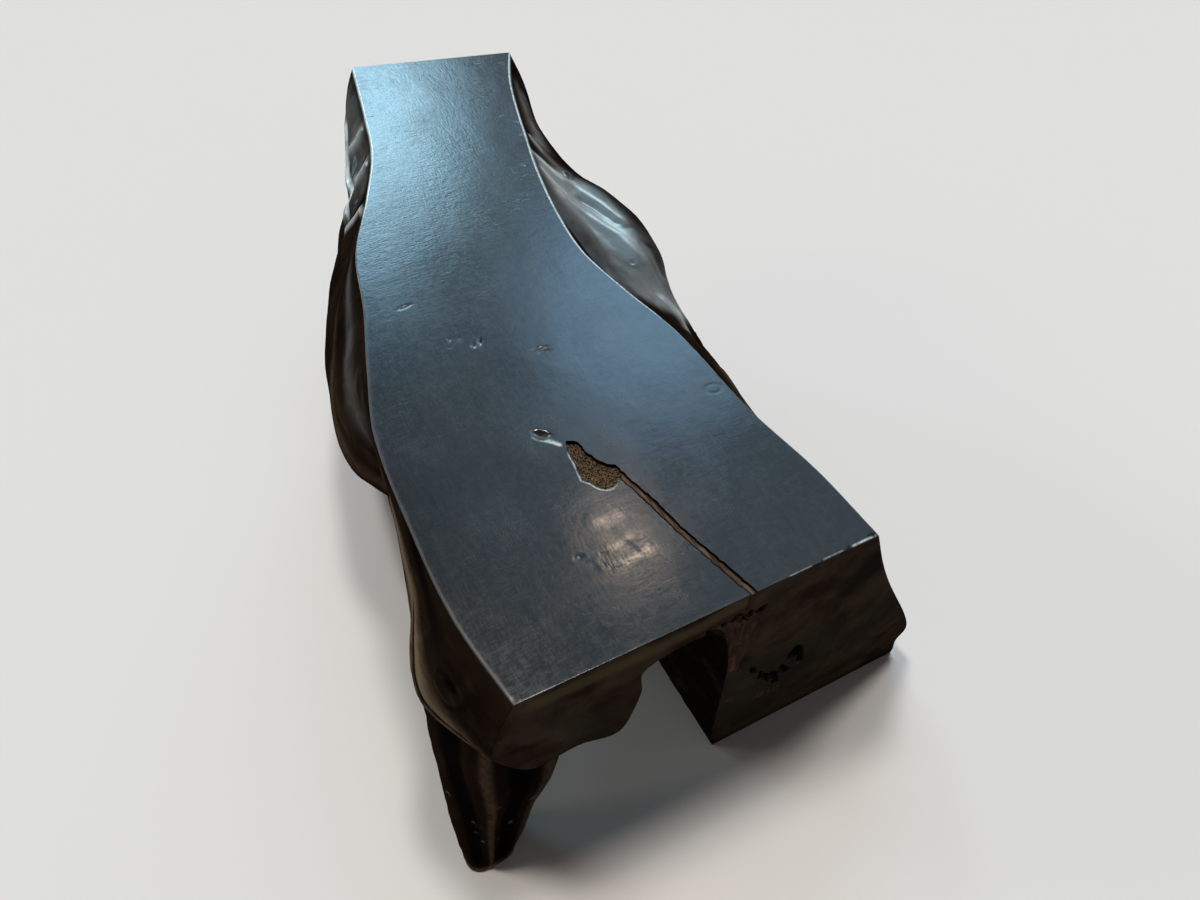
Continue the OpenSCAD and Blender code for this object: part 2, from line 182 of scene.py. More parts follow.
# The log's form
SPINE = [(0, 0.005), (0.09, -0.057), (0.185, -0.105), (0.32, -0.095), (0.41, -0.07),
         (0.5, -0.01), (0.59, 0.1), (0.685, 0.33), (0.775, 0.55), (0.865, 0.715),
         (0.93, 0.84), (1, 1)]
WIDTH = [(0, NEAR_W), (0.09, NEAR_W * 1.022), (0.185, NEAR_W * 0.985),
         (0.32, NEAR_W * 0.943), (0.41, NEAR_W * 0.833), (0.5, NEAR_W * 0.726),
         (0.59, NEAR_W * 0.684), (0.685, WAIST_W * 1.07), (0.775, WAIST_W),
         (0.865, WAIST_W * 1.015), (0.93, mix(WAIST_W, FAR_W, 0.4)), (1, FAR_W)]
LEFT_OUT = (
    shares(LEFT_LIP, (0, 0.54), (0.045, 0.86), (0.08, 1.04), (0.105, 0.97), (0.135, 0.77),
           (0.165, 0.49), (0.21, 0.28))
    + [(0.26, 4), (0.3, 0), (0.335, 0)]
    + shares(LEFT_LOBE, (0.36, 0.2), (0.385, 0.43), (0.41, 0.565), (0.44, 0.665),
             (0.48, 0.745), (0.54, 0.78), (0.6, 0.8), (0.65, 0.88), (0.7, 0.95),
             (0.75, 0.92), (0.77, 0.82), (0.79, 0.68))
    + shares(FAR_LEFT_FLANK, (0.81, 1.12), (0.84, 1), (0.88, 0.86), (0.95, 0.65), (1, 0.5)))
LEFT_DROP = [(0, 102), (0.15, 116), (0.28, 120), (0.34, 152), (0.44, 158), (0.54, 188),
             (0.62, 198), (0.76, 196), (0.8, 178), (0.83, 124), (0.87, 112), (1, 96)]
LEFT_FULL = [(0, 0.6), (0.1, 0.34), (0.25, 0.4), (0.42, 0.62), (0.7, 0.64), (0.8, 0.62),
             (0.85, 0.42), (1, 0.6)]
RIGHT_OUT = (
    shares(RIGHT_ROOT, (0, 1), (0.14, 0.95), (0.19, 0.7))
    + shares(RIGHT_LOBE, (0.24, 0.45), (0.3, 0.49), (0.37, 0.59), (0.42, 0.71), (0.46, 0.79),
             (0.5, 0.87), (0.54, 0.94), (0.58, 1), (0.63, 1.01), (0.67, 0.99), (0.7, 0.94),
             (0.745, 0.8), (0.78, 0.64), (0.83, 0.49), (0.88, 0.38))
    + shares(FAR_RIGHT_FLANK, (0.93, 1), (1, 0.65)))
RIGHT_DROP = [(0, 330), (0.14, 318), (0.19, 230), (0.24, 142), (0.5, 136), (0.75, 132),
              (1, 110)]
RIGHT_FULL = [(0, 0.348), (0.2, 0.4), (0.32, 0.5), (0.5, 0.36), (0.66, 0.35), (0.78, 0.42),
              (1, 0.6)]
SIDE_T = shares(LOG_T, (0, 1), (0.3, 1), (0.7, 0.95), (1, 0.82))
CROWN_T = shares(CROWN, (0, 1), (0.3, 1.15), (0.7, 1.3), (1, 1.35))
HOLLOW = [(0, 1), (0.35, 0.95), (0.6, 0.8), (1, 0.68)]


def turn(s):
    return np.radians(-FAR_CUT * ramp((s - 0.35) / 0.5))


def spine(s):
    return along(SPINE, s) * BEND


def placed(s, across, up):
    """A point of the cross-section at share s of the length, in the bench's space."""
    a = turn(s)
    s, across, up = np.broadcast_arrays(s, across, up)
    return np.stack([spine(s) + across * np.cos(a), s * SEAT_LEN + across * np.sin(a), up],
                    -1)


MIDDLE = np.array([
    (placed(0, NEAR_W / 2 + RIGHT_ROOT, 0)[0] - NEAR_W / 2 + FIN_LEFT + 4) / 2,
    (placed(1, -FAR_W / 2 - FAR_LEFT_FLANK * 0.55, 0)[1] + FIN_FRONT + 1) / 2,
    0])


def to_frame(points):
    """Millimetres from the near edge to the frame's metres."""
    return (np.asarray(points, float) - MIDDLE) / 1000


def block(y, middle, length):
    return 1 - ramp((np.abs(y - middle) - length / 2) / FAR_RISE)


def controls(s):
    """The cross-section's control points (across, up), as in the part's source."""
    y = s * SEAT_LEN
    half = along(WIDTH, s) / 2
    side, crown = SEAT_H - along(SIDE_T, s), SEAT_H - along(CROWN_T, s)
    left, right = -HOLLOW_LEFT * along(HOLLOW, s), HOLLOW_RIGHT * along(HOLLOW, s)
    lr = block(y, FAR_LEFT_Y, FAR_LEFT_LEN)
    nr = 1 - ramp((y - NEAR_RIGHT_LEN + NEAR_RISE) / NEAR_RISE)
    rr = np.maximum(nr, block(y, FAR_RIGHT_Y, FAR_RIGHT_LEN))
    lo, lf = along(LEFT_OUT, s), along(LEFT_FULL, s)
    ro, rf = along(RIGHT_OUT, s), along(RIGHT_FULL, s)
    lz, rz = mix(side, -WASTE, lr), mix(side, -WASTE, rr)
    opened = (1 - lr) * (1 - ramp(s * 5))

    def at(across, up):
        return np.stack(np.broadcast_arrays(across, up), -1)

    lip = at(-half - lo, np.maximum(SEAT_H - along(LEFT_DROP, s), lz + LIP_ROOM * 0.7))
    rim = at(half + ro, np.maximum(SEAT_H - along(RIGHT_DROP, s), rz + LIP_ROOM))
    mid = mix(0.45, 0.62, ramp((s - 0.42) / 0.2) * ramp((0.86 - s) / 0.06))
    lfoot = at(-half - lo + mix(52, 62, lr), lz)
    linner = at(mix(left - 28, left - 42, lr), lz - 14 * opened)
    rinner = at(mix(right + 12, right + mix(30, 4 + NEAR_LEAN * y, nr), rr), rz)
    rfoot = at(half + ro - mix(46, mix(82, 20, nr), rr), rz)
    return np.stack([
        at(-half, SEAT_H - ARRIS),
        at(-half - lo * lf, mix(SEAT_H, lip[..., 1], mid)),
        lip,
        (lip + lfoot) / 2 + [-9, 0],
        lfoot,
        (lfoot + linner) / 2 + at(0, 12 * opened),
        linner,
        at(left - 2, (lz + crown) / 2),
        at(left + 3, crown),
        at(right - 50, crown + 6),
        at(right - 14, np.maximum(crown - CROWN * 1.56, side + 8)),
        rinner,
        mix(rinner, rfoot, 0.35),
        rfoot,
        (rim + rfoot) / 2 + [8, 0],
        rim,
        at(half + ro * rf, mix(SEAT_H, rim[..., 1], mix(0.5, 0.4, nr))),
        at(half, SEAT_H - ARRIS)], -2)


# Points in each span of the section: close together where a flank shows
SPAN_POINTS = [24, 24, 10, 9, 5, 5, 7, 6, 5, 5, 8, 3, 6, 9, 16, 34, 34]
# Places in the section: the left foot, the hollow's crown and the right foot
LEFT_FOOT_AT, CROWN_AT, RIGHT_FOOT_AT = (sum(SPAN_POINTS[:k]) for k in (4, 8, 13))
FLANK_N = sum(SPAN_POINTS) + 1


def smooth_line(points, counts):
    """A smooth line through control points, with the given number of points in each span."""
    last = points.shape[-2] - 1
    out = []
    for i, count in enumerate(counts):
        a, b, c, d = (points[..., min(max(j, 0), last), :] for j in (i - 1, i, i + 1, i + 2))
        for k in range(count):
            t = k / count
            out.append((2 * b + (c - a) * t + (2 * a - 5 * b + 4 * c - d) * t**2
                        + (3 * b - a - 3 * c + d) * t**3) / 2)
    out.append(points[..., last, :])
    return np.stack(out, -2)


# Lines of the live edges that several tables share: places (along, down from the seat)
LIP_GROOVE = [(210, 92), (170, 106), (140, 118), (100, 124), (60, 122), (20, 118)]
LIP_RIM = [(210, 102), (170, 116), (140, 127), (100, 133), (60, 131), (20, 127)]
FAR_FOLD = [(1140, 12), (1160, 38), (1176, 70), (1200, 104)]
MIDDLE_FOLD = [(1039, 6), (1042, 30), (1060, 66), (1112, 108)]
LOBE_FOLD = [(883, 2), (925, 26), (945, 63), (985, 118), (998, 143)]
FLANK_RIM = [(1330, 88), (1223, 114), (1150, 120), (1070, 124), (1010, 140)]
SMALL_FOLD = [(1066, 14), (1050, 32), (1040, 50)]

# Relief of the live edges: rise (+) or dent (-), width, and a line
LEFT_STROKES = [
    # near left lip: a thin groove inside the rim, and the shallow valley above it
    (-3.0, 3.4, LIP_GROOVE),
    (1.2, 4.0, LIP_RIM),
    (-3.0, 22.0, [(300, 24), (230, 40), (160, 58), (120, 70)]),
    # left lobe: a fold beside the seat's edge and one that starts the lobe
    (-4.5, 9.0, [(350, 20), (400, 34), (450, 38), (520, 30), (600, 18)]),
    (2.5, 7.0, [(350, 34), (400, 50), (450, 55), (520, 47), (590, 36)]),
    (-7.0, 8.0, [(372, 52), (400, 74), (430, 96), (470, 118)]),
    (-2.0, 14.0, [(560, 70), (640, 90), (720, 84), (800, 60)]),
    (1.6, 12.0, [(520, 96), (620, 122), (720, 116), (820, 84)]),
    # far left flank: three hollows between slanting folds, and the rim outside them
    (-6.0, 20.0, [(1310, 24), (1250, 32), (1215, 40)]),
    (4.0, 12.0, FAR_FOLD),
    (-4.0, 22.0, [(1100, 14), (1112, 56), (1140, 90)]),
    (4.5, 12.0, MIDDLE_FOLD),
    (-4.5, 20.0, [(985, 14), (995, 52), (1020, 90)]),
    (5.0, 8.0, LOBE_FOLD),
    (4.0, 9.0, FLANK_RIM),
]
RIGHT_STROKES = [
    # the two broad folds of the right lobe, with a valley between them
    (4.0, 20.0, [(990, 2), (978, 30), (966, 66), (966, 105), (912, 146), (877, 165),
                 (837, 182)]),
    (4.0, 20.0, [(900, 34), (885, 72), (868, 102), (837, 124), (804, 148), (755, 162),
                 (712, 173)]),
    (-2.5, 9.0, [(925, 96), (900, 128), (868, 152), (840, 168)]),
    # the trough beside the seat's edge, and small folds at both ends of the lobe
    (-7.0, 24.0, [(893, 14), (800, 26), (745, 50), (674, 62), (600, 50), (520, 40),
                  (440, 26)]),
    (2.5, 6.0, SMALL_FOLD),
    (-3.0, 9.0, [(800, 196), (778, 214), (733, 214), (690, 216)]),
    (2.5, 9.0, [(640, 170), (589, 170), (540, 150), (470, 112)]),
    (-2.0, 8.0, [(620, 140), (560, 118), (500, 90)]),
    # right flank between the lobe and the near root
    (-6.0, 16.0, [(400, 60), (330, 90), (280, 120)]),
    (5.0, 14.0, [(420, 110), (360, 130), (300, 170)]),
    (-5.0, 20.0, [(230, 60), (160, 100), (90, 120)]),
    (4.0, 16.0, [(200, 160), (120, 200), (50, 210)]),
    # far right strip
    (-2.5, 12.0, [(1300, 40), (1220, 70), (1150, 74)]),
]
# Knots: dent, radius along, radius down, and their place
LEFT_KNOTS = [(4.8, 20, 11, 84, 72), (1.8, 6, 5, 700, 58), (1.6, 5, 4, 733, 38),
              (2.6, 8, 6, 640, 150)]
RIGHT_KNOTS = [(5.0, 9, 6, 1000, 100), (2.2, 8, 5, 720, 150), (3.0, 12, 9, 520, 190),
               (2.4, 8, 8, 330, 190), (3.5, 14, 11, 130, 160), (2.5, 9, 7, 1180, 60)]


# Rubbed (+) and dark (-) places of the flanks, for their colour: amount, width and a line.
# The tan bands along the rims are painted highlights, and the dark groove, fold and hollows
# under the seat's edge are painted shade
# The first stroke is a tan painted highlight along the rim of the near left lip
LEFT_WEAR_AND_SHADING = [(1.3, 19, [(430, 66), (315, 76), (221, 88), (165, 100), (120, 112), (80, 118),
                        (30, 122), (0, 124)]),
             # painted shade in the lip's groove
             (-2.0, 2.6, [(230, 84)] + LIP_GROOVE),
             # painted shade in the scoop under the seat's edge
             (-0.5, 34, [(300, 14), (230, 30), (150, 44), (80, 52), (0, 60)]),
             # painted highlight along the left lobe's rim
             (0.45, 15, [(830, 108), (700, 142), (600, 152), (500, 142), (420, 118)]),
             # painted shade in the hollows under the seat's edge
             (-0.4, 18, [(1300, 30), (1150, 40), (1000, 45), (900, 40)])]
RIGHT_WEAR_AND_SHADING = [(0.5, 16, [(900, 10), (800, 24), (745, 44), (674, 58), (600, 48), (520, 38)]),
              (0.35, 24, [(1330, 40), (1200, 50), (1080, 60)]),
              # painted shade in a fold of the right lobe
              (-0.4, 14, [(800, 200), (733, 214), (690, 216)])]
# Waxed places of the flanks, in the same way; a pale bluish colour is painted on them as a
# highlight
LEFT_WAX_AND_SHEEN = [(1.0, 8, FLANK_RIM), (0.55, 13, FAR_FOLD), (0.7, 12, MIDDLE_FOLD),
            (1.0, 7, LOBE_FOLD),
            (0.36, 60, [(1360, 50), (1200, 60), (1040, 60), (960, 60)]),
            (0.28, 30, [(840, 40), (700, 56), (560, 60), (450, 46)]),
            (0.3, 3, LIP_RIM)]
RIGHT_WAX_AND_SHEEN = [(1.0, 19, [(990, 2), (978, 30), (966, 66), (960, 100), (912, 140), (877, 160),
                        (837, 178)]),
             (0.6, 14, [(965, 16), (935, 46), (910, 84)]),
             (1.0, 21, [(900, 34), (885, 72), (868, 98), (837, 120), (804, 144),
                        (755, 158), (712, 170)]),
             (0.9, 7, SMALL_FOLD),
             (0.74, 80, [(1010, 60), (900, 100), (800, 140), (700, 160), (620, 160),
                        (540, 140)]),
             (0.35, 40, [(1300, 50), (1150, 60), (1060, 60)]),
             (0.32, 30, [(1076, 20), (1040, 60), (1000, 110)]),
             (0.2, 30, [(893, 14), (800, 26), (745, 46), (674, 56), (600, 46), (480, 36)]),
             (0.6, 9, [(640, 170), (589, 170), (540, 150), (500, 130)])]
# Pale painted highlight along the rim of the far left flank
LEFT_RIM_GLINT = [(0.9, 8, [(1310, 84), (1250, 96), (1200, 105), (1150, 111), (1090, 115),
                      (1030, 121), (1000, 132)])]
# Pale painted highlights where the folds of the right lobe start at the seat's edge
RIGHT_RIM_GLINTS = [(0.62, 8, [(1000, 2), (980, 26), (968, 56), (962, 84)]),
             (0.5, 6, [(956, 12), (935, 46), (915, 80)]),
             (0.4, 8, [(890, 60), (868, 98), (840, 122)])]


def drawn(x, y, strokes):
    """The sum of soft strokes: (amount, width, line), fading at both ends."""
    total = np.zeros(np.shape(x))
    for amount, width, line in strokes:
        dist, share = near_line(x, y, line)
        ends = ramp(share * 6 + 0.15) * ramp((1 - share) * 6 + 0.15)
        total += amount * ends * np.exp(-((dist / width) ** 2))
    return total


def relief(y, down, tables):
    """How far a flank stands out of its smooth form, from its strokes and knots."""
    strokes, knots = tables
    rise = drawn(y, down, strokes)
    for depth, long, tall, y0, d0 in knots:
        r = np.hypot((y - y0) / long, (down - d0) / tall)
        rings = 0.25 * np.cos(r * 9) * np.exp(-(r**2) / 2)
        rise += depth * (0.55 * np.exp(-(((r - 1.25) / 0.35) ** 2))
                         - np.exp(-((r / 0.8) ** 2)) + rings)
    return rise


# Marks in the planed seat: depth, half length, half width, heading, and place (x, y)
SEAT_MARKS = [
    (1.7, 8, 2.2, 5, -126, 656), (1.5, 5, 1.6, 62, -66, 533), (1.6, 6, 1.7, 62, -55, 536),
    (1.4, 9, 1.7, -8, 18, 487), (1.1, 7, 1.5, -5, 21, 477), (0.9, 5, 1.3, 62, -93, 560),
    (0.6, 5, 1.2, 62, -81, 556), (0.5, 3, 1.5, 0, -100, 545), (0.8, 3.0, 3.0, 0, -98, 138),
    (0.9, 5, 2.2, 15, 243, 1056), (1.2, 6, 2.2, 5, 234, 1011), (0.7, 4, 2, 40, 194, 922),
    (6.0, 7.5, 3.4, -38, -52, 337), (0.10, 13, 1.3, -70, -31, 125),
    (0.3, 3, 1.5, 30, 106, 770), (0.3, 3, 1.5, 10, 150, 620),
    # chips at the near corners
    (1.6, 6, 3.2, 0, 240, 2), (1.3, 5, 2.4, 0, 205, 0), (1.0, 4, 2.0, 0, 166, 0),
    (0.4, 4, 2.5, 40, -246, 6),
]
SCRATCHES = [(0.10, 1.2, [(-83, 773), (-98, 715), (-110, 665), (-130, 589)]),
             (0.06, 1.1, [(-96, 160), (-78, 176), (-60, 196)]),
             (0.05, 1.1, [(112, 1125), (117, 1060), (120, 1010)]),
             (0.08, 1.1, [(6, 547), (-8, 532), (-21, 524)])]
# A faint oval ring: depth, radii and place
RING = (0.25, 11, 9, 200, 306)
# Pale painted highlights on the seat: beside the scar and the knot, in a small pit and along the
# near edge
SEAT_GLINTS = [(0.5, 3.0, [(-70, 341), (-60, 326), (-48, 317), (-34, 301)]),
             (0.4, 5.0, [(-52, 327), (-44, 318), (-36, 306)]),
             (0.75, 1.6, [(-35, 300), (-37, 282), (-38, 268), (-41, 250), (-42, 240),
                         (-34, 232), (-31, 224), (-25, 216), (-17, 212), (-8, 212),
                         (3, 218)]),
             (0.8, 1.4, [(-99, 137), (-97, 139)]),
             (0.75, 2.2, [(244, 3), (226, 2), (204, 2)]), (0.5, 1.8, [(198, 2), (160, 2)]),
             (0.5, 1.6, [(150, 1), (110, 1)]), (0.45, 1.4, [(-246, 3), (-225, 1), (-190, 1)])]
# Polished (-) and dull (+) places of the seat: change of roughness, width and line
SHEEN = [(-0.10, 5, [(-92, 126), (-66, 131), (-42, 134), (-19, 138)]),
         (-0.11, 6, [(-94, 112), (-82, 113), (-48, 106), (-16, 110), (-6, 104)]),
         (-0.09, 8, [(-64, 174), (-37, 171), (-16, 171)]),
         (-0.06, 4, [(-6, 114), (-2, 102), (-10, 96)]),
         (0.12, 2.0, [(-36, 140), (-27, 110)])]


def seat_relief(x, y):
    """How far the planed seat lies below its plane."""
    p = flat(x, y)
    low = 0.18 * (1 + noise(p, (110, 240, 1), 3)) + 0.07 * (1 + noise(p, (34, 90, 1), 5))
    low += 0.022 * (1 + noise(p, (14, 9, 1), 7))
    for depth, long, wide, heading, x0, y0 in SEAT_MARKS:
        u, v = seen_from(x, y, x0, y0, heading, long, wide)
        low += depth * np.exp(-(u**2 + v**2))
    depth, long, wide, x0, y0 = RING
    low += depth * np.exp(-(((np.hypot((x - x0) / long, (y - y0) / wide) - 1) / 0.16) ** 2))
    return low + drawn(x, y, SCRATCHES)


# Masks for the materials: worn (+) and dark (-) wood, with painted highlights (+) and
# painted shade (-) on the flanks; waxed places, with a pale painted sheen; pale painted
# highlights along edges; torn wood (+) and brown marks (-), with painted shade (-) in the
# near end's holes and along the near left seat edge; and change of the seat's roughness
MASKS = ("worn", "wax", "edge", "raw", "dull")


# Mesh helpers
def make_object(name, points, faces, face_materials=None, smooth=True):
    """A mesh object from points in millimetres."""
    mesh = bpy.data.meshes.new(name)
    mesh.from_pydata(to_frame(points).tolist(), [], faces)
    for material in MATERIALS:
        mesh.materials.append(bpy.data.materials[material])
    if face_materials is not None:
        mesh.polygons.foreach_set("material_index", face_materials)
    mesh.polygons.foreach_set("use_smooth", [smooth] * len(mesh.polygons))
    mesh.update()
    obj = bpy.data.objects.new(name, mesh)
    bpy.context.scene.collection.objects.link(obj)
    return obj


def set_mask(obj, name, values):
    layer = obj.data.attributes.new(name, "FLOAT", "POINT")
    layer.data.foreach_set("value", np.asarray(values, float).ravel())


def boolean(obj, cutter, operation="DIFFERENCE"):
    """Cuts obj by another closed mesh, which it uses up, and bakes the result."""
    step = obj.modifiers.new("cut", "BOOLEAN")
    step.operation, step.object, step.solver = operation, cutter, "MANIFOLD"
    bpy.context.view_layer.update()
    whole = obj.evaluated_get(bpy.context.evaluated_depsgraph_get())
    mesh = bpy.data.meshes.new_from_object(whole)
    obj.modifiers.clear()
    obj.data = mesh
    bpy.data.objects.remove(cutter)


def face_out(obj):
    """Turns all faces of a closed mesh outwards."""
    fix = bmesh.new()
    fix.from_mesh(obj.data)
    bmesh.ops.recalc_face_normals(fix, faces=fix.faces)
    fix.to_mesh(obj.data)
    fix.free()


def prism(name, outline, low, high, material):
    """A closed upright prism over an outline of (x, y)."""
    ring = np.array(outline, float)
    n = len(ring)
    x, y = ring.T
    if np.sum(x * np.roll(y, -1) - np.roll(x, -1) * y) < 0:
        ring = ring[::-1]
    points = np.concatenate([np.column_stack([ring, np.full(n, z)]) for z in (low, high)])
    faces = [list(range(n - 1, -1, -1)), list(range(n, 2 * n))]
    faces += [[i, (i + 1) % n, n + (i + 1) % n, n + i] for i in range(n)]
    return make_object(name, points, faces, [MATERIALS.index(material)] * len(faces), False)


def box(name, low, high):
    (x0, y0, z0), (x1, y1, z1) = low, high
    return prism(name, [(x0, y0), (x1, y0), (x1, y1), (x0, y1)], z0, z1, "raw_wood")


def inside(points, ring):
    """Which (x, y) points lie in a closed outline."""
    x, y = points[:, 0:1], points[:, 1:2]
    a, b = ring, np.roll(ring, -1, 0)
    crosses = (a[:, 1] > y) != (b[:, 1] > y)
    with np.errstate(divide="ignore", invalid="ignore"):
        at = a[:, 0] + (y - a[:, 1]) * (b[:, 0] - a[:, 0]) / (b[:, 1] - a[:, 1])
    return (crosses & (x < at)).sum(1) % 2 == 1


def dotted(low, high, spacing, rng):
    """Evenly spread points, a little shifted, over a rectangle."""
    nx, ny = (np.ceil((np.array(high) - low) / spacing)).astype(int) + 1
    gx, gy = np.meshgrid(np.arange(nx), np.arange(ny))
    grid = np.stack([gx + 0.5 * (gy % 2), gy * 1.0], -1).reshape(-1, 2) * spacing + low
    return grid + rng.uniform(-0.18, 0.18, grid.shape) * spacing


def filled(ring, spacing, margin, seed, fine=None):
    """Points inside an outline and the triangles over them and the outline's points.

    The outline's points come first, in their own order. fine is a rectangle, (low, high),
    with its own spacing."""
    rng = np.random.default_rng(seed)
    grid = dotted(ring.min(0), ring.max(0), spacing, rng)
    if fine:
        low, high, close = fine
        away = ((grid < low) | (grid > high)).any(1)
        grid = np.vstack([grid[away], dotted(low, high, close, rng)])
    grid = grid[inside(grid, ring)]
    gap, _ = near_line(grid[:, 0], grid[:, 1], np.vstack([ring, ring[:1]]))
    grid = grid[gap > margin]
    points = np.vstack([ring, grid])
    out = delaunay_2d_cdt([Vector(p) for p in points], [], [list(range(len(ring)))], 1, 1e-6)
    first = [source[0] for source in out[3]]
    return grid, [[first[i] for i in face] for face in out[2]]


# The log
def log_stations():
    """Shares of the length at which the log's sections lie, closer at the knot and crack."""
    step_in = [0, 0.35, 0.7, 1.0, 2.6]
    near = np.arange(4.6, 700, 2.2)
    far = np.arange(near[-1] + 3, SEAT_LEN - 4, 3)
    return np.concatenate([step_in, near, far,
                           [SEAT_LEN - e for e in reversed(step_in)]]) / SEAT_LEN


def seat_shares():
    """Places across the seat from its right edge to its left, as shares of its half width."""
    fine = np.arange(0.38, -0.2, -0.0075)
    return np.concatenate([np.arange(0.985, 0.385, -0.013), fine,
                           np.arange(-0.21, -0.985, -0.013)])


# Height of the seat's worn edge: (in from the edge, down from the seat)
EDGE_ROUND = [(0.12, 1.1), (0.5, 0.4), (1.0, 0.0), (1.4, 0.0)]
# Wood broken out of the near end: (x, height) of a chipped corner, and holes, each with its
# depth, half width, half height, lean in degrees and place (x, height)
CHIPPED = [(2, 386), (27, 380), (60, 364), (90, 338), (98, 300), (90, 262), (78, 228),
           (55, 262), (40, 300), (24, 340)]
HOLES = [(11, 7, 9, 14, 57, 370), (7, 9, 4, 12, 68, 383), (7, 7, 4, -8, 84, 379),
         (8, 5, 7, 0, 39, 379), (7, 4, 6, 0, 28, 380), (8, 8, 5, 0, 13, 381),
         (6, 6, 3, 0, 47, 388),
         (17, 13, 15, 0, 175, 195), (11, 6, 18, 28, 191, 168), (10, 5.5, 17, 30, 165, 158),
         (9, 4.5, 16, 30, 151, 150), (8, 4.5, 14, 30, 138, 154), (7, 4, 12, 22, 123, 176),
         (6, 4, 10, 20, 105, 202), (8, 7, 7, 0, 156, 128)]
# Splinters left standing pale, and tones of the near end: amount, width and line
PALE = [(1.0, 5, [(56, 268), (61, 247), (67, 234)]), (0.9, 8, [(146, 98), (172, 100)]),
        (0.5, 8, [(180, 152), (190, 146)]), (0.7, 9, [(122, 108), (140, 98)]),
        (0.6, 10, [(72, 150), (84, 130)]), (0.5, 6, [(64, 300), (66, 290)]),
        (0.9, 5, [(318, 12), (350, 16)])]
END_TONES = [(1.0, 15, [(-260, 410), (-100, 404), (-9, 406), (38, 416), (90, 412)]),
             (0.7, 22, [(50, 14), (200, 16), (370, 24)]),
             (0.4, 26, [(100, 150), (96, 190)]),
             (-0.8, 34, [(278, 380), (249, 328), (225, 296)])]
# Where the near end is broken in, with points closer together: corners and spacing
TORN = ((-20, 80), (220, 396), 1.8)
END_SPACING, END_MARGIN, END_SEED = 3.4, 1.4, 5


def ends_relief(x, z):
    """How far the near saw cut is broken in, and how raw (+) or dark (-) it is there. The dark is
    painted shade in the holes.
    """
    p = flat(x, z)
    wx, wz = x + 4 * rough_noise(p, 12, 41), z + 4 * rough_noise(p, 12, 43)
    ring = np.array(CHIPPED, float)
    gap, _ = near_line(wx, wz, np.vstack([ring, ring[:1]]))
    chip = ramp(0.5 + np.where(inside(np.stack([wx, wz], -1), ring), gap, -gap) / 9)
    splinters = drawn(wx, wz, PALE)
    deep = 5.0 * chip * (0.8 + 0.5 * noise(p, (4, 14, 1), 47))
    deep += 2.0 * splinters * noise(p, (5, 5, 1), 48)
    raw = chip * (0.45 + 0.5 * noise(p, (6, 20, 1), 49)) + splinters
    for depth, wide, tall, lean, x0, z0 in HOLES:
        u, v = seen_from(wx, wz, x0, z0, lean, wide, tall)
        r = np.hypot(u, v)
        part = ramp((1.2 - r) / 0.45)
        deep = np.maximum(deep, depth * part)
        # Each hole is painted near black as shade, with a pale rim left below it
        raw = mix(raw, -1.0, part) + 0.45 * np.exp(-(((r - 1.5) / 0.3) ** 2)) * (v < 0)
    return deep, raw


# Share of the worn rim along the first and last points across the seat
RIM_SHARES = (1, 0.6, 0.2)
# How strong the pale painted highlight along an edge is at the near end, where it starts to grow
# stronger, and over how long
EDGE_GLINT_LEFT, EDGE_GLINT_RIGHT = (0.1, 820, 110), (0.35, 400, 150)
# Depth at which a mark of the seat shows its brown inside, and over how much more
STAIN_DEPTH, STAIN_SPREAD = 2.8, 1.2
# Distance by which the points stay inside the CAD model's box
INSIDE = 0.05


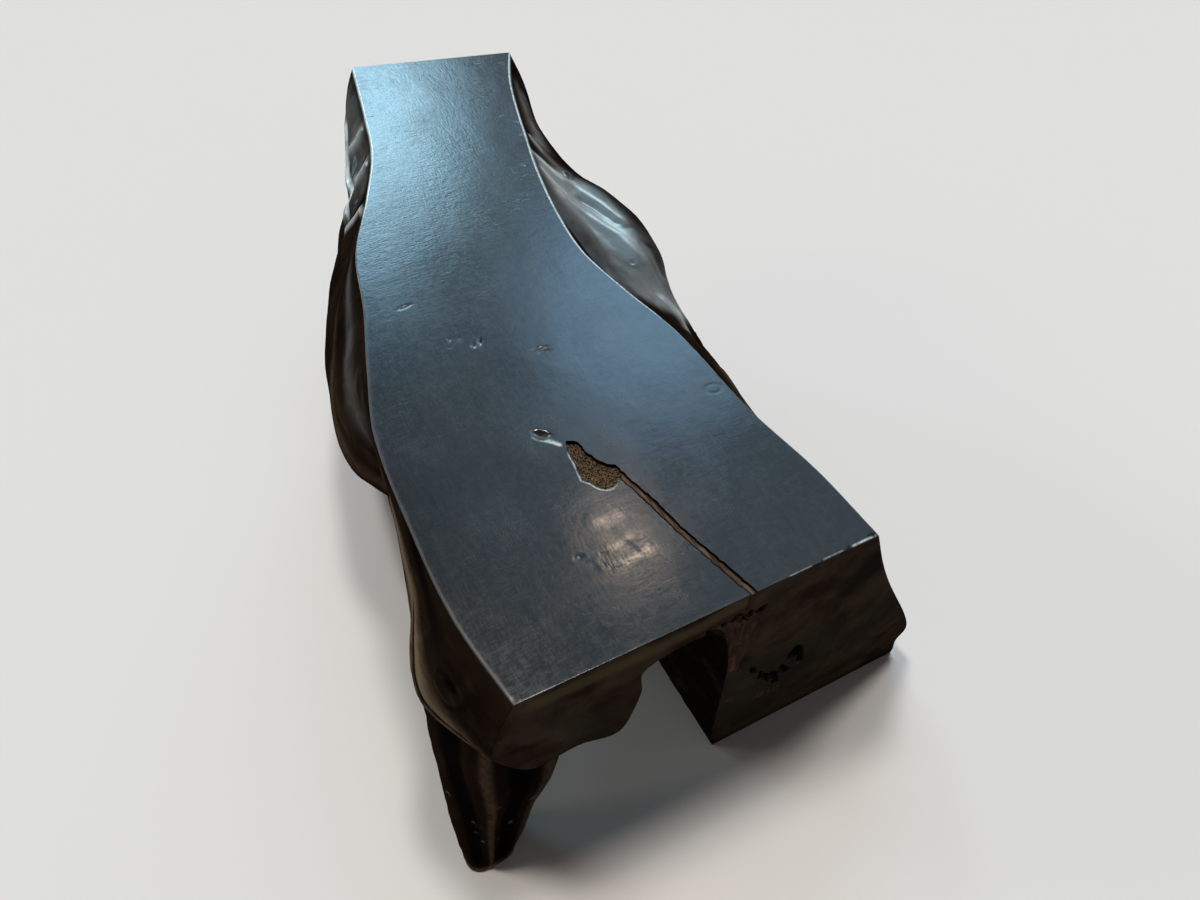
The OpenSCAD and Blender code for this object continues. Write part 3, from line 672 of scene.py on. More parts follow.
class Skin:
    """The log's skin: cross-sections of points, and where each point lies on it."""

    def __init__(self):
        self.s = log_stations()
        flank = smooth_line(controls(self.s), SPAN_POINTS)
        self.half = along(WIDTH, self.s)[:, None] / 2
        steps = np.linalg.norm(np.diff(flank, axis=1), axis=2)
        self.down_left = np.pad(np.cumsum(steps, axis=1), ((0, 0), (1, 0)))
        self.down_right = self.down_left[:, -1:] - self.down_left
        self.down = np.minimum(self.down_left, self.down_right)
        self.y = np.repeat((self.s * SEAT_LEN)[:, None], FLANK_N, 1)
        self.to_end = np.minimum(self.y, SEAT_LEN - self.y)

        inward, lower = np.array(EDGE_ROUND).T
        seat = self.half * seat_shares()[None, :]
        self.across = np.concatenate([flank[..., 0], self.half - inward, seat,
                                      -self.half + inward[::-1]], 1)
        rows = (len(self.s), 1)
        up = np.concatenate([flank[..., 1], np.tile(SEAT_H - lower, rows),
                             np.full(seat.shape, SEAT_H),
                             np.tile(SEAT_H - lower[::-1], rows)], 1)
        self.points = placed(self.s[:, None], self.across, up)
        self.carve_flanks()
        self.wear_seat()

    def by_side(self, make, left, right):
        """Values over the flanks, made from each side's own table."""
        return np.where(np.arange(FLANK_N) < CROWN_AT, make(self.y, self.down_left, left),
                        make(self.y, self.down_right, right))

    def carve_flanks(self):
        """Moves the flanks and the hollow out and in by their relief."""
        ahead = np.gradient(self.points, axis=0)
        normal = np.cross(ahead, np.roll(self.points, -1, 1) - np.roll(self.points, 1, 1))
        normal /= np.linalg.norm(normal, axis=2)[..., None]
        p = self.points[:, :FLANK_N]
        bark = (1.4 * noise(p, (70, 150, 60), 11) + 0.6 * noise(p, (26, 64, 26), 13)
                + 0.16 * rough_noise(p, (9, 22, 9), 19))
        adze = 1.6 * noise(p, (22, 34, 22), 23) + 0.9 * rough_noise(p, (6, 11, 6), 29)
        rise = self.by_side(relief, (LEFT_STROKES, LEFT_KNOTS), (RIGHT_STROKES, RIGHT_KNOTS))
        at = np.arange(FLANK_N)
        rise = np.where((at >= LEFT_FOOT_AT) & (at <= RIGHT_FOOT_AT), adze,
                        (rise + bark) * ramp((self.down - 1.5) / 16))
        # The sawn ends stay crisp, and their edges are a little worn
        self.rise = (rise * mix(0.25, 1.0, ramp(self.to_end / 25))
                     - 0.6 * np.exp(-self.to_end / 0.7))
        self.points[:, :FLANK_N] += normal[:, :FLANK_N] * self.rise[..., None]

    def wear_seat(self):
        """Lowers the seat by its marks, its worn ends and its wandering worn edges."""
        top = self.points[:, FLANK_N:]
        self.sink = seat_relief(top[..., 0], top[..., 1])
        top[..., 2] -= self.sink + 0.45 * np.maximum(1 - self.to_end[:, :1] / 0.7, 0) ** 2
        rim = np.zeros(top.shape[1])
        rim[:3], rim[-3:] = RIM_SHARES, RIM_SHARES[::-1]
        top[..., 2] -= rim * 0.35 * (1 + noise(top, (14, 14, 40), 31))

    def masks(self):
        """The masks of all points, in the order of MASKS."""
        worn, wax, edge, raw, dull = (np.zeros(self.points.shape[:2]) for _ in MASKS)
        y = self.y[:, :1]
        left, right = (mix(least, 1, ramp((y - start) / over))
                       for least, start, over in (EDGE_GLINT_LEFT, EDGE_GLINT_RIGHT))
        # Ridges are lighter and dents darker; the strokes add painted highlights and painted
        # shade
        worn[:, :FLANK_N] = self.rise / 9 + self.by_side(drawn, LEFT_WEAR_AND_SHADING, RIGHT_WEAR_AND_SHADING)
        wax[:, :FLANK_N] = self.by_side(drawn, LEFT_WAX_AND_SHEEN, RIGHT_WAX_AND_SHEEN)
        # Pale bluish painted highlights along the seat's edge and on the flanks' rims
        edge[:, :FLANK_N] = (np.exp(-self.down / 3.6)
                             * np.where(np.arange(FLANK_N) < CROWN_AT, left, right)
                             + self.by_side(drawn, LEFT_RIM_GLINT, RIGHT_RIM_GLINTS))
        side, top = self.across[:, FLANK_N:], self.points[:, FLANK_N:]
        from_left = self.half + side
        # Painted highlights along the seat's edges, at its marks and by the near corners
        edge[:, FLANK_N:] = ((1 - ramp((self.half - np.abs(side) - 1.2) / 3.5))
                             * np.where(side < 0, left, right)
                             + np.minimum(drawn(top[..., 0], top[..., 1], SEAT_GLINTS), 1))
        # Brown inside deep marks, and a dark band painted along the near part of the left edge as
        # shade
        raw[:, FLANK_N:] = -np.maximum(
            ramp((self.sink - STAIN_DEPTH) / STAIN_SPREAD),
            0.75 * np.exp(-from_left / 3.0) * ramp((760 - y) / 120))
        dull[:, FLANK_N:] = (drawn(top[..., 0], top[..., 1], SHEEN)
                             + 0.1 * np.exp(-from_left / 2.0) * ramp((860 - y) / 60)
                             + 0.1 * np.exp(-y / 2.0))
        return worn, wax, edge, raw, dull


def sawn_end(ring, s, i):
    """Points inside the sawn end on section i, and its triangles with the ring's first.

    Also returns how raw each point is, and its tone."""
    near = i == 0
    u = (ring[:, 0] - spine(s)) / np.cos(turn(s))
    grid, cap = filled(np.column_stack([u, ring[:, 2]]), END_SPACING, END_MARGIN,
                       END_SEED + i, TORN if near else None)
    body = placed(s, grid[:, 0], grid[:, 1])
    raw = tone = np.zeros(len(grid))
    if near:
        deep, raw = ends_relief(body[:, 0], body[:, 2])
        tone = drawn(body[:, 0], body[:, 2], END_TONES)
        body[:, 1] += deep
    saw = (0.22 * (1 + noise(body, (7, 7, 60), 53))
           + 0.25 * (1 + noise(body, (60, 60, 40), 59)))
    body[:, 1] += saw if near else -saw
    return body, cap, raw, tone


def build_log():
    """The whole hollowed log with its root blocks, as one closed mesh."""
    skin = Skin()
    masks = skin.masks()
    low, high = (np.array(corner) * 1000 + MIDDLE for corner in cad_box)
    low[2] = -WASTE
    points = np.clip(skin.points, low + INSIDE, high - [INSIDE, INSIDE, 0])
    count, n = points.shape[:2]

    flank_m, top_m, hollow_m, saw_m = (MATERIALS.index(name) for name in (
        "live_edge", "seat_top", "hollow", "saw_cut"))
    kind = np.full(n, top_m)
    kind[:FLANK_N] = flank_m
    kind[LEFT_FOOT_AT:RIGHT_FOOT_AT] = hollow_m
    faces, kinds = [], []
    for i in range(count - 1):
        for k in range(n):
            a, b = i * n + k, i * n + (k + 1) % n
            faces.append([a, b, b + n, a + n])
            kinds.append(kind[k])

    everything, total = [points.reshape(-1, 3)], count * n
    raw_ends, tone_ends = [], []
    for i in (0, count - 1):
        body, cap, raw, tone = sawn_end(points[i], skin.s[i], i)
        index = np.concatenate([i * n + np.arange(n), total + np.arange(len(body))])
        faces += [[int(index[v]) for v in (f if i == 0 else f[::-1])] for f in cap]
        kinds += [saw_m] * len(cap)
        everything.append(body)
        raw_ends.append(raw)
        tone_ends.append(tone)
        total += len(body)
    obj = make_object("log", np.vstack(everything), faces, kinds)
    face_out(obj)
    ends = {"worn": np.concatenate(tone_ends), "raw": np.concatenate(raw_ends)}
    for name, values in zip(MASKS, masks):
        rest = ends.get(name, np.zeros(total - count * n))
        set_mask(obj, name, np.concatenate([values.ravel(), rest]))
    return obj


# The joints
def rounded_box(width, depth, radius, grow=0.0, steps=8):
    """Outline of a rounded rectangle round the origin."""
    out = []
    for cx, cy, start in ((1, 1, 0), (-1, 1, 90), (-1, -1, 180), (1, -1, 270)):
        for k in range(steps + 1):
            a = math.radians(start + 90 * k / steps)
            out.append((cx * (width / 2 - radius) + (radius + grow) * math.cos(a),
                        cy * (depth / 2 - radius) + (radius + grow) * math.sin(a)))
    return np.array(out)


def dowel_spots():
    """Each leg's two dowels: (x, y, height of the joint)."""
    spots = [(TENON_AT[0], TENON_AT[1] + k * TENON_D, FIN_H) for k in (-0.27, 0.27)]
    spots += [(HOLLOW_RIGHT + (NEAR_W / 2 - HOLLOW_RIGHT) * 0.55, NEAR_RIGHT_LEN * k, JOINT_H)
              for k in (0.27, 0.66)]
    for y, length, side in ((FAR_LEFT_Y, FAR_LEFT_LEN, -1), (FAR_RIGHT_Y, FAR_RIGHT_LEN, 1)):
        for k in (-0.3, 0.3):
            s = (y + k * length) / SEAT_LEN
            half = along(WIDTH, s) / 2
            out = half + 12 if side > 0 else -(half + HOLLOW_LEFT * along(HOLLOW, s)) / 2 - 22
            spots.append((*placed(s, out, 0)[:2], JOINT_H))
    return spots


def bore_dowels(obj, which):
    """Drills the bores of the given dowels."""
    a = np.linspace(0, 2 * np.pi, 40, endpoint=False)
    circle = np.stack([np.cos(a), np.sin(a)], -1) * (DOWEL_D / 2 + DOWEL_GAP)
    spots = dowel_spots()
    for k in which:
        x, y, joint = spots[k]
        bore = prism("bore", circle + [x, y], joint - DOWEL_LEN / 2,
                     joint + DOWEL_LEN / 2 + GLUE_SPACE, "raw_wood")
        boolean(obj, bore)


# The near left leg
def fin_wide(t):
    return FIN_LEFT + mix(FIN_FOOT_W, FIN_HEAD_W, t)


def fin_deep(t):
    return FIN_FRONT + mix(FIN_FOOT_D, FIN_HEAD_D, t)


# Rings of (height, left, right, front, back, squareness)
FIN = [(0, FIN_LEFT, fin_wide(0), FIN_FRONT, fin_deep(0), 3.4),
       (0.105, FIN_LEFT - 3, fin_wide(0.23), FIN_FRONT + 4, fin_deep(0.11), 3.2),
       (0.233, FIN_LEFT - 3, fin_wide(0.52), FIN_FRONT + 11, fin_deep(0.38), 3),
       (0.367, FIN_LEFT + 2, fin_wide(0.94), FIN_FRONT + 17, fin_deep(0.68), 3),
       (0.523, FIN_LEFT + 8, fin_wide(1) + 16, FIN_FRONT + 23, fin_deep(1) + 23, 3),
       (0.609, FIN_LEFT + 15, fin_wide(1) + 22, FIN_FRONT + 25, fin_deep(1) + 27, 2.8),
       (0.698, FIN_LEFT + 23, fin_wide(1) + 24, FIN_FRONT + 27, fin_deep(1) + 31, 2.6)]
TENON_AT = ((FIN[4][1] + FIN[4][2] - NEAR_W) / 2 + 14, (FIN[4][3] + FIN[4][4]) / 2)


def fin_value(k, z):
    return along([(ring[0] * SEAT_H, ring[k]) for ring in FIN], z)


# Ridges (+) and valleys (-) of the leg: rise, width, and a line of (degrees round, height).
# 0 degrees faces right, 270 faces the near end.
FIN_STROKES = [
    (4.5, 5.5, [(262, 0), (258, 40), (253, 100), (246, 160), (240, 220), (236, 300)]),
    (-9.0, 15, [(290, 20), (286, 60), (282, 100), (277, 160), (272, 220), (268, 300)]),
    (-8.0, 12, [(234, 25), (230, 90), (218, 160), (208, 240), (204, 300)]),
    (4.0, 12, [(318, 0), (310, 90), (300, 180), (294, 300)]),
    (-4.0, 9, [(345, 10), (340, 120), (335, 300)]),
    (-5.0, 12, [(180, 10), (172, 120), (166, 300)]),
    (-5.0, 14, [(150, 0), (146, 120), (150, 300)]),
    (5.0, 14, [(120, 0), (122, 120), (118, 300)]),
    (-6.0, 15, [(85, 0), (88, 120), (80, 300)]),
    (-4.0, 12, [(30, 0), (34, 140), (28, 300)]),
]
# Small pits: depth, half height, half width, degrees round and height
FIN_PITS = [(2.2, 4, 2.2, 252, 150), (2.0, 3, 2, 247, 128), (2.6, 6, 2.2, 230, 108),
            (1.8, 3, 2, 233, 88), (2.6, 6, 2, 292, 74), (2.2, 4, 2.4, 274, 58),
            (2.0, 3, 2.6, 266, 63), (1.8, 4, 2, 243, 72), (2.0, 5, 2, 300, 120),
            (2.4, 5, 3, 200, 150), (3.0, 10, 7, 100, 90), (2.4, 6, 4, 160, 60)]


def fin_relief(x, y, z, r):
    """How far the leg stands out of its smooth form, how rubbed it is there, and where it is
    waxed, with glints painted on its pits.
    """
    size = np.hypot(x - x.mean(1, keepdims=True), y - y.mean(1, keepdims=True))
    rise = np.zeros_like(x)
    for height, width, line in FIN_STROKES:
        turned = [(math.radians(deg) * 60, h) for deg, h in line]
        dist, _ = near_line(r * 60, z, turned)
        rise += height * np.exp(-((dist / width) ** 2))
    worn = rise / 6 + 1.2 * ramp((10 - z) / 5)
    wax = np.zeros_like(x)
    for depth, long, wide, deg, h in FIN_PITS:
        dist = np.hypot((z - h) / long, (r - math.radians(deg)) * size / wide)
        rise += depth * (0.4 * np.exp(-(((dist - 1.3) / 0.4) ** 2)) - np.exp(-(dist**2)))
        # A painted glint at the upper rim of each pit
        wax += 0.9 * np.exp(-(((z - h) / long - 0.9) ** 2 + dist**2 / 2))
    p = np.stack([x, y, z], -1)
    rise += (1.2 * noise(p, (20, 20, 70), 61) + 0.5 * noise(p, (8, 8, 40), 67)
             + 0.5 * mix(0.4, 1, ramp((60 - z) / 50)) * rough_noise(p, (4, 4, 9), 71))
    rise = np.minimum(rise, 5) * mix(0.45, 1, ramp(z / 30)) - 1.0 * np.exp(-z / 1.2) - 2.5
    return rise + 2.5 * ramp((9 - z) / 5), worn, wax


def build_near_left_leg(log):
    """The leg under the near left lip, scribed to the log and tenoned into it."""
    heights = np.linspace(0, FIN_TOP, 120)
    around = np.linspace(0, 360, 150, endpoint=False)
    z, a = np.meshgrid(heights, around, indexing="ij")
    r = np.radians(a)
    left, right, front, back, q = (fin_value(k, z) for k in range(1, 6))
    full = (np.abs(np.cos(r)) ** q + np.abs(np.sin(r)) ** q) ** (-1 / q)
    ridge = full * (1 + 0.025 * ramp(z / 60) * np.cos(np.radians(-5 * a + 200)))
    wide, deep = (right - left) / 2, (back - front) / 2
    x = (left + right - NEAR_W) / 2 + wide * ridge * np.cos(r)
    y = (front + back) / 2 + deep * ridge * np.sin(r)
    rise, worn, wax = fin_relief(x, y, z, r)
    x = x + rise * np.cos(r)
    y = np.maximum(y + rise * np.sin(r), FIN_FRONT + 0.2)
    n = len(around)
    points = np.stack([x, y, z], -1).reshape(-1, 3)
    faces = [[i * n + k, i * n + (k + 1) % n, (i + 1) * n + (k + 1) % n, (i + 1) * n + k]
             for i in range(len(heights) - 1) for k in range(n)]
    faces += [list(range(n - 1, -1, -1)),
              list(range((len(heights) - 1) * n, len(heights) * n))]
    kinds = [MATERIALS.index("live_edge")] * (len(faces) - 2)
    kinds += [MATERIALS.index("saw_cut")] * 2
    leg = make_object("near_left_leg_wood", points, faces, kinds)
    none = np.zeros_like(rise)
    for name, values in zip(MASKS, (worn, wax, none, none, none)):
        set_mask(leg, name, values)
    above = copy_of(log, "scribe")
    above.data.transform(Matrix.Translation((-SOCKET_GAP / 1000, 0, -SOCKET_GAP / 1000)))
    boolean(leg, above)
    tenon = prism("tenon", rounded_box(TENON_W, TENON_D, TENON_ROUND) + TENON_AT,
                  JOINT_H, FIN_H, "raw_wood")
    boolean(leg, tenon, "UNION")
    bore_dowels(leg, (0, 1))
    return leg


def copy_of(obj, name):
    new = bpy.data.objects.new(name, obj.data.copy())
    bpy.context.scene.collection.objects.link(new)
    return new


# The knot hole and the crack that runs from it to the near end
KNOT = [(-29, 310), (-22, 307), (-16, 303), (-14, 293), (-13, 283), (-10, 272), (-6, 262),
        (1, 253), (10, 246), (12, 238), (12, 230), (8, 223), (2, 220), (-4, 216), (-10, 214),
        (-18, 214), (-25, 218), (-30, 226), (-33, 234), (-40, 241), (-39, 250), (-38, 259),
        (-36, 271), (-35, 282), (-34, 296)]
CRACK = [(6, 236), (8, 230), (15, 202), (22, 167), (33, 112), (46, 64), (66, -WASTE)]


def wavy(line, step, amount, seed, closed=True):
    """A line of (x, y) with points every step, moved sideways by small random amounts."""
    line = np.array(line + line[:1] if closed else line, float)
    run = np.concatenate([[0], np.cumsum(np.linalg.norm(np.diff(line, axis=0), axis=1))])
    at = np.linspace(0, run[-1], int(run[-1] / step) + 1)
    out = np.stack([np.interp(at, run, line[:, k]) for k in (0, 1)], -1)
    if closed:
        out = out[:-1]
    p = flat(*out.T)
    shift = np.stack([rough_noise(p, (7, 7, 1), seed), rough_noise(p, (7, 7, 1), seed + 5)],
                     -1)
    return out + shift * amount


def knot_outline(inset=0.0):
    ring = wavy(KNOT, 2.0, 0.9, 73)
    return ring + outward(ring) * inset


def crack_middle():
    return wavy(CRACK, 2.5, 1.0, 79, closed=False)


def crack_outline(inset=0.0):
    middle = crack_middle()
    ahead = np.gradient(middle, axis=0)
    side = np.stack([ahead[:, 1], -ahead[:, 0]], -1) / np.linalg.norm(ahead, axis=1)[:, None]
    half = CRACK_W / 2 * (1 + 0.16 * noise(flat(*middle.T), (30, 30, 1), 83)) - inset
    return np.vstack([middle + side * half[:, None], (middle - side * half[:, None])[::-1]])


def filling(name, outline, low, top, spacing, seed):
    """A closed piece under an outline, with a worked top: top(x, y) gives its height."""
    grid, cap = filled(outline, spacing, spacing * 0.45, seed)
    n = len(outline)
    spots = np.vstack([outline, grid])
    upper = np.column_stack([spots, top(*spots.T)])
    lower = np.column_stack([outline, np.full(n, low)])
    under = len(spots)
    faces = cap + [list(range(under + n - 1, under - 1, -1))]
    faces += [[under + i, under + (i + 1) % n, (i + 1) % n, i] for i in range(n)]
    obj = make_object(name, np.vstack([upper, lower]), faces)
    face_out(obj)
    return obj


def knot_top(x, y):
    p = flat(x, y)
    grain = 0.9 * noise(p, (3.2, 3.2, 1), 89) + 0.8 * noise(p, (1.7, 1.7, 1), 97)
    return SEAT_H - KNOT_LOW - 1.6 + grain


def crack_top(x, y):
    p = flat(x, y)
    dist, _ = near_line(x, y, crack_middle())
    fibres = 0.35 * noise(p, (1.6, 26, 1), 101) + 0.2 * noise(p, (1.1, 1.6, 1), 103)
    edge = 1.8 * ramp((dist / CRACK_W * 2 - 0.5) / 0.5)
    return np.minimum(SEAT_H - CRACK_LOW - 0.1, SEAT_H - CRACK_LOW - 0.4 - edge + fibres)


# Materials
class Nodes:
    """Short ways to add nodes to a tree. Each gives the new node's outputs, or one of them."""

    def __init__(self, tree):
        self.tree = tree

    def feed(self, socket, value):
        """Links a node's output to a socket, or sets the socket to a value."""
        if isinstance(value, bpy.types.NodeSocket):
            self.tree.links.new(value, socket)
        else:
            socket.default_value = value

    def add(self, kind, inputs=None, **settings):
        node = self.tree.nodes.new("ShaderNode" + kind)
        for key, value in settings.items():
            setattr(node, key, value)
        for socket, value in (inputs or {}).items():
            self.feed(node.inputs[socket], value)
        return node.outputs

    def spread(self, value, low, high, to_low=0.0, to_high=1.0):
        """A value's range from low to high, spread smoothly over another range."""
        return self.add("MapRange", {"Value": value, "From Min": low, "From Max": high,
                                     "To Min": to_low, "To Max": to_high},
                        interpolation_type="SMOOTHSTEP")["Result"]

    def maths(self, operation, a, b):
        return self.add("Math", {0: a, 1: b}, operation=operation)[0]

    def times(self, a, b):
        return self.maths("MULTIPLY", a, b)

    def blend(self, factor, a, b):
        """Colour a where the factor is 0 and colour b where it is 1."""
        a, b = ((*c, 1) if isinstance(c, tuple) else c for c in (a, b))
        return self.add("Mix", {"Factor": factor, 6: a, 7: b}, data_type="RGBA")[2]


class Shader(Nodes):
    """A node material with a Principled shader."""

    def __init__(self, name, **constants):
        self.material = bpy.data.materials.new(name)
        self.material.use_nodes = True
        super().__init__(self.material.node_tree)
        self.shader = self.tree.nodes["Principled BSDF"]
        for socket, value in constants.items():
            self.drive(socket.replace("_", " "), value)
        self.place = self.add("TexCoord")["Object"]

    def drive(self, socket, value):
        """Links a node's output to an input of the shader, or sets it to a value."""
        self.feed(self.shader.inputs[socket], value)

    def stretched(self, scale, turned):
        """The place on the object, stretched and turned by angles in degrees."""
        return self.add("Mapping", {"Vector": self.place, "Scale": scale,
                                    "Rotation": [math.radians(a) for a in turned]})["Vector"]

    def noise(self, stretch, scale, detail, roughness, distortion=0.0, turned=(0, 0, 0)):
        return self.add("TexNoise", {
            "Vector": self.stretched(stretch, turned), "Scale": scale, "Detail": detail,
            "Roughness": roughness, "Distortion": distortion})["Fac"]

    def wave(self, turned, scale, distortion):
        return self.add("TexWave", {
            "Vector": self.stretched((1, 1, 1), turned), "Scale": scale, "Detail": 2,
            "Distortion": distortion}, bands_direction="Z")["Fac"]

    def mask(self, name):
        return self.add("Attribute", attribute_name=name)["Fac"]

    def sum(self, *parts):
        """The sum of several values, in turn."""
        total = parts[0]
        for part in parts[1:]:
            total = self.maths("ADD", total, part)
        return total

    def bump(self, *layers):
        """Bumps in turn: (height, distance in metres, strength)."""
        before = {}
        for height, distance, strength in layers:
            normal = self.add("Bump", {"Height": height, "Distance": distance,
                                       "Strength": strength, **before})["Normal"]
            before = {"Normal": normal}
        self.drive("Normal", normal)

    def finish(self, colour, roughness):
        self.drive("Base Color", colour)
        self.drive("Roughness", roughness)
        return self.material


def seat_top_material():
    """Planed wood, stained near black and waxed: smudges, fine grain and small scratches, with
    painted highlights along the edges and painted shade along the near left edge.
    """
    m = Shader("seat_top", IOR=1.52)
    grain = m.noise((34, 3.2, 34), 4, 6, 0.6)
    streaks = m.noise((10, 75, 10), 1.6, 6, 0.65, turned=(0, 0, 4))
    smudge = m.noise((3.2, 2.2, 3.2), 1.6, 5, 0.6, 0.6)
    cloud = m.noise((1, 0.8, 1), 9, 3, 0.6, 0.4)
    clusters = m.spread(m.noise((1, 1, 1), 11, 3, 0.6), 0.5, 0.66)
    weave = m.sum(m.noise((1, 4, 1), 90, 2, 0.5), m.noise((4, 1, 1), 90, 2, 0.5))
    # The far part is rubbed and scratched more than the near one
    far = m.spread(m.add("SeparateXYZ", {0: m.place})["Y"], -0.2, 0.3, 0.3, 1.0)
    scratches = None
    for turned, bend in ((12, 0.4), (72, 0.8), (118, 0.6)):
        line = m.noise((40, 640, 40), 1, 2, 0.5, bend, turned=(0, 0, turned))
        line = m.spread(line, 0.66, 0.71)
        scratches = line if scratches is None else m.maths("MAXIMUM", scratches, line)
    scratches = m.times(m.times(scratches, clusters), far)
    colour = m.blend(m.spread(grain, 0.35, 0.7), (0.0085, 0.0085, 0.009), (0.014, 0.0125, 0.012))
    haze = m.noise((1, 0.7, 1), 22, 5, 0.65, 0.6)
    colour = m.blend(m.spread(haze, 0.42, 0.72, 0, 0.3), colour, (0.036, 0.037, 0.038))
    colour = m.blend(m.times(m.spread(weave, 0.95, 1.25, 0, 0.28), far), colour,
                     (0.034, 0.036, 0.038))
    colour = m.blend(m.times(scratches, 0.3), colour, (0.075, 0.075, 0.075))
    # Pale bluish painted highlight along the edges and at marks
    edge = m.times(m.spread(m.mask("edge"), 0.2, 0.9), m.spread(weave, 0.8, 1.1, 0.45, 0.95))
    colour = m.blend(edge, colour, (0.60, 0.68, 0.70))
    # Brown inside deep marks, and painted shade along the near left edge
    stain_and_shade = m.times(m.mask("raw"), -1.0)
    colour = m.blend(stain_and_shade, colour, (0.020, 0.006, 0.004))
    rough = m.sum(m.spread(smudge, 0.3, 0.7, 0.12, 0.17), m.mask("dull"),
                  m.spread(streaks, 0.4, 0.75, 0.0, 0.02),
                  m.spread(weave, 0.85, 1.15, -0.02, 0.03),
                  m.spread(cloud, 0.35, 0.7, -0.015, 0.03),
                  m.spread(scratches, 0.0, 1.0, 0.0, 0.15),
                  m.spread(stain_and_shade, 0.0, 1.0, 0.0, 0.5))
    ripple = m.sum(m.noise((1, 3.2, 1), 34, 5, 0.65, 0.2),
                   m.noise((3.2, 1, 1), 34, 5, 0.65, 0.2, turned=(0, 0, 8)))
    m.bump((m.times(weave, far), 0.00016, 0.95), (cloud, 0.0012, 0.22),
           (ripple, 0.0004, 0.1), (scratches, 0.0001, 0.5))
    return m.finish(colour, rough)


def live_edge_material():
    """Smooth wood from under the bark: dark dull valleys, and rubbed, browner, waxed ridges, with
    painted highlights and painted shade near black in dents and grooves.
    """
    m = Shader("live_edge", IOR=1.5, Specular_IOR_Level=0.0, Coat_Roughness=0.22)
    fibre = m.noise((60, 7, 26), 3, 6, 0.65, 0.3)
    lumps = m.noise((1, 0.6, 1), 26, 5, 0.6, 0.5)
    patch = m.noise((1, 0.7, 1), 8, 4, 0.6, 0.6)
    worn = m.mask("worn")
    dark = m.blend(m.spread(patch, 0.35, 0.7), (0.006, 0.0038, 0.0028), (0.015, 0.0088, 0.006))
    light = m.blend(m.spread(fibre, 0.3, 0.7), (0.050, 0.034, 0.021), (0.105, 0.073, 0.046))
    ridge = m.sum(m.spread(worn, -0.05, 0.95, 0.0, 0.85), m.spread(lumps, 0.5, 0.78, 0.0, 0.15))
    colour = m.blend(ridge, dark, light)
    # Near black where the mask is low, in deep dents, grooves and under the seat's edge: painted
    # shade
    colour = m.blend(m.spread(worn, -0.25, -0.9, 0, 0.85), colour, (0.0022, 0.0018, 0.0017))
    # Tan where the mask is high, along the rims: painted highlight
    colour = m.blend(m.spread(worn, 0.8, 1.5), colour, (0.15, 0.108, 0.070))
    # Waxed places get a clear coat, and a pale bluish colour painted on them as sheen: painted
    # highlight
    wax = m.mask("wax")
    frost_and_sheen = m.spread(m.sum(wax, m.spread(lumps, 0.3, 0.7, -0.15, 0.1)), 0.1, 1.2, 0, 0.75)
    colour = m.blend(frost_and_sheen, colour, (0.135, 0.172, 0.188))
    # Pale bluish painted highlight along the seat's edge and on the rims
    edge = m.times(m.spread(m.mask("edge"), 0.1, 0.9, 0, 0.85),
                   m.spread(lumps, 0.32, 0.62, 0.3, 1.0))
    colour = m.blend(edge, colour, (0.60, 0.70, 0.72))
    rough = m.sum(m.spread(patch, 0.3, 0.7, 0.27, 0.38), m.spread(fibre, 0.4, 0.7, 0.0, 0.05))
    m.bump((fibre, 0.0003, 0.15), (lumps, 0.0012, 0.2))
    m.drive("Coat Weight", m.spread(wax, 0.04, 1.0))
    return m.finish(colour, rough)


def saw_cut_material():
    """Sawn end grain, stained reddish dark brown, with raw wood where it broke out and painted
    shade, near black, in its holes.
    """
    m = Shader("saw_cut", IOR=1.45, Specular_IOR_Level=0.0)
    marks = m.wave((0, 12, 0), 60, 2.2)
    mottle = m.noise((1, 1, 1), 14, 6, 0.62, 0.5)
    grit = m.noise((1, 1, 1), 260, 4, 0.6)
    splinter = m.noise((90, 20, 16), 2, 5, 0.7, turned=(0, 20, 0))
    colour = m.blend(m.spread(mottle, 0.3, 0.72), (0.0165, 0.0096, 0.007), (0.047, 0.0325, 0.023))
    drift = m.noise((1, 1, 1), 5.5, 4, 0.6, 0.4)
    colour = m.blend(m.spread(drift, 0.46, 0.64, 0, 0.75), colour, (0.020, 0.0188, 0.0142))
    tone = m.mask("worn")
    colour = m.blend(m.times(m.spread(tone, 0.1, 1.0), 0.7), colour, (0.075, 0.057, 0.031))
    colour = m.blend(m.times(m.spread(tone, -0.1, -0.9), 0.8), colour, (0.008, 0.0085, 0.0065))
    raw = m.blend(m.spread(splinter, 0.3, 0.7), (0.020, 0.010, 0.007), (0.12, 0.062, 0.044))
    torn_and_hole_shade = m.times(m.mask("raw"), m.spread(mottle, 0.3, 0.6, 0.4, 1.0))
    colour = m.blend(m.spread(torn_and_hole_shade, 0.05, 1.1), colour, raw)
    # Near black in the holes: painted shade
    colour = m.blend(m.spread(torn_and_hole_shade, -0.05, -0.7), colour, (0.0035, 0.0015, 0.001))
    rough = m.spread(mottle, 0.3, 0.7, 0.46, 0.64)
    m.bump((marks, 0.0004, 0.25), (grit, 0.0004, 0.3), (splinter, 0.0008, 0.12))
    return m.finish(colour, rough)


def hollow_material():
    """The hollow's wall and the underside: rough, dull and reddish where it is raw."""
    m = Shader("hollow", IOR=1.45, Specular_IOR_Level=0.0)
    fibre = m.noise((60, 6, 60), 3, 6, 0.7, 0.4)
    rot = m.noise((1, 0.6, 1), 18, 6, 0.65, 0.8)
    colour = m.blend(m.spread(fibre, 0.3, 0.7), (0.0035, 0.0022, 0.0018), (0.011, 0.0075, 0.0055))
    colour = m.blend(m.spread(rot, 0.5, 0.75, 0, 0.6), colour, (0.028, 0.023, 0.016))
    m.bump((fibre, 0.0012, 0.5), (rot, 0.0030, 0.5))
    return m.finish(colour, m.spread(rot, 0.3, 0.7, 0.62, 0.85))


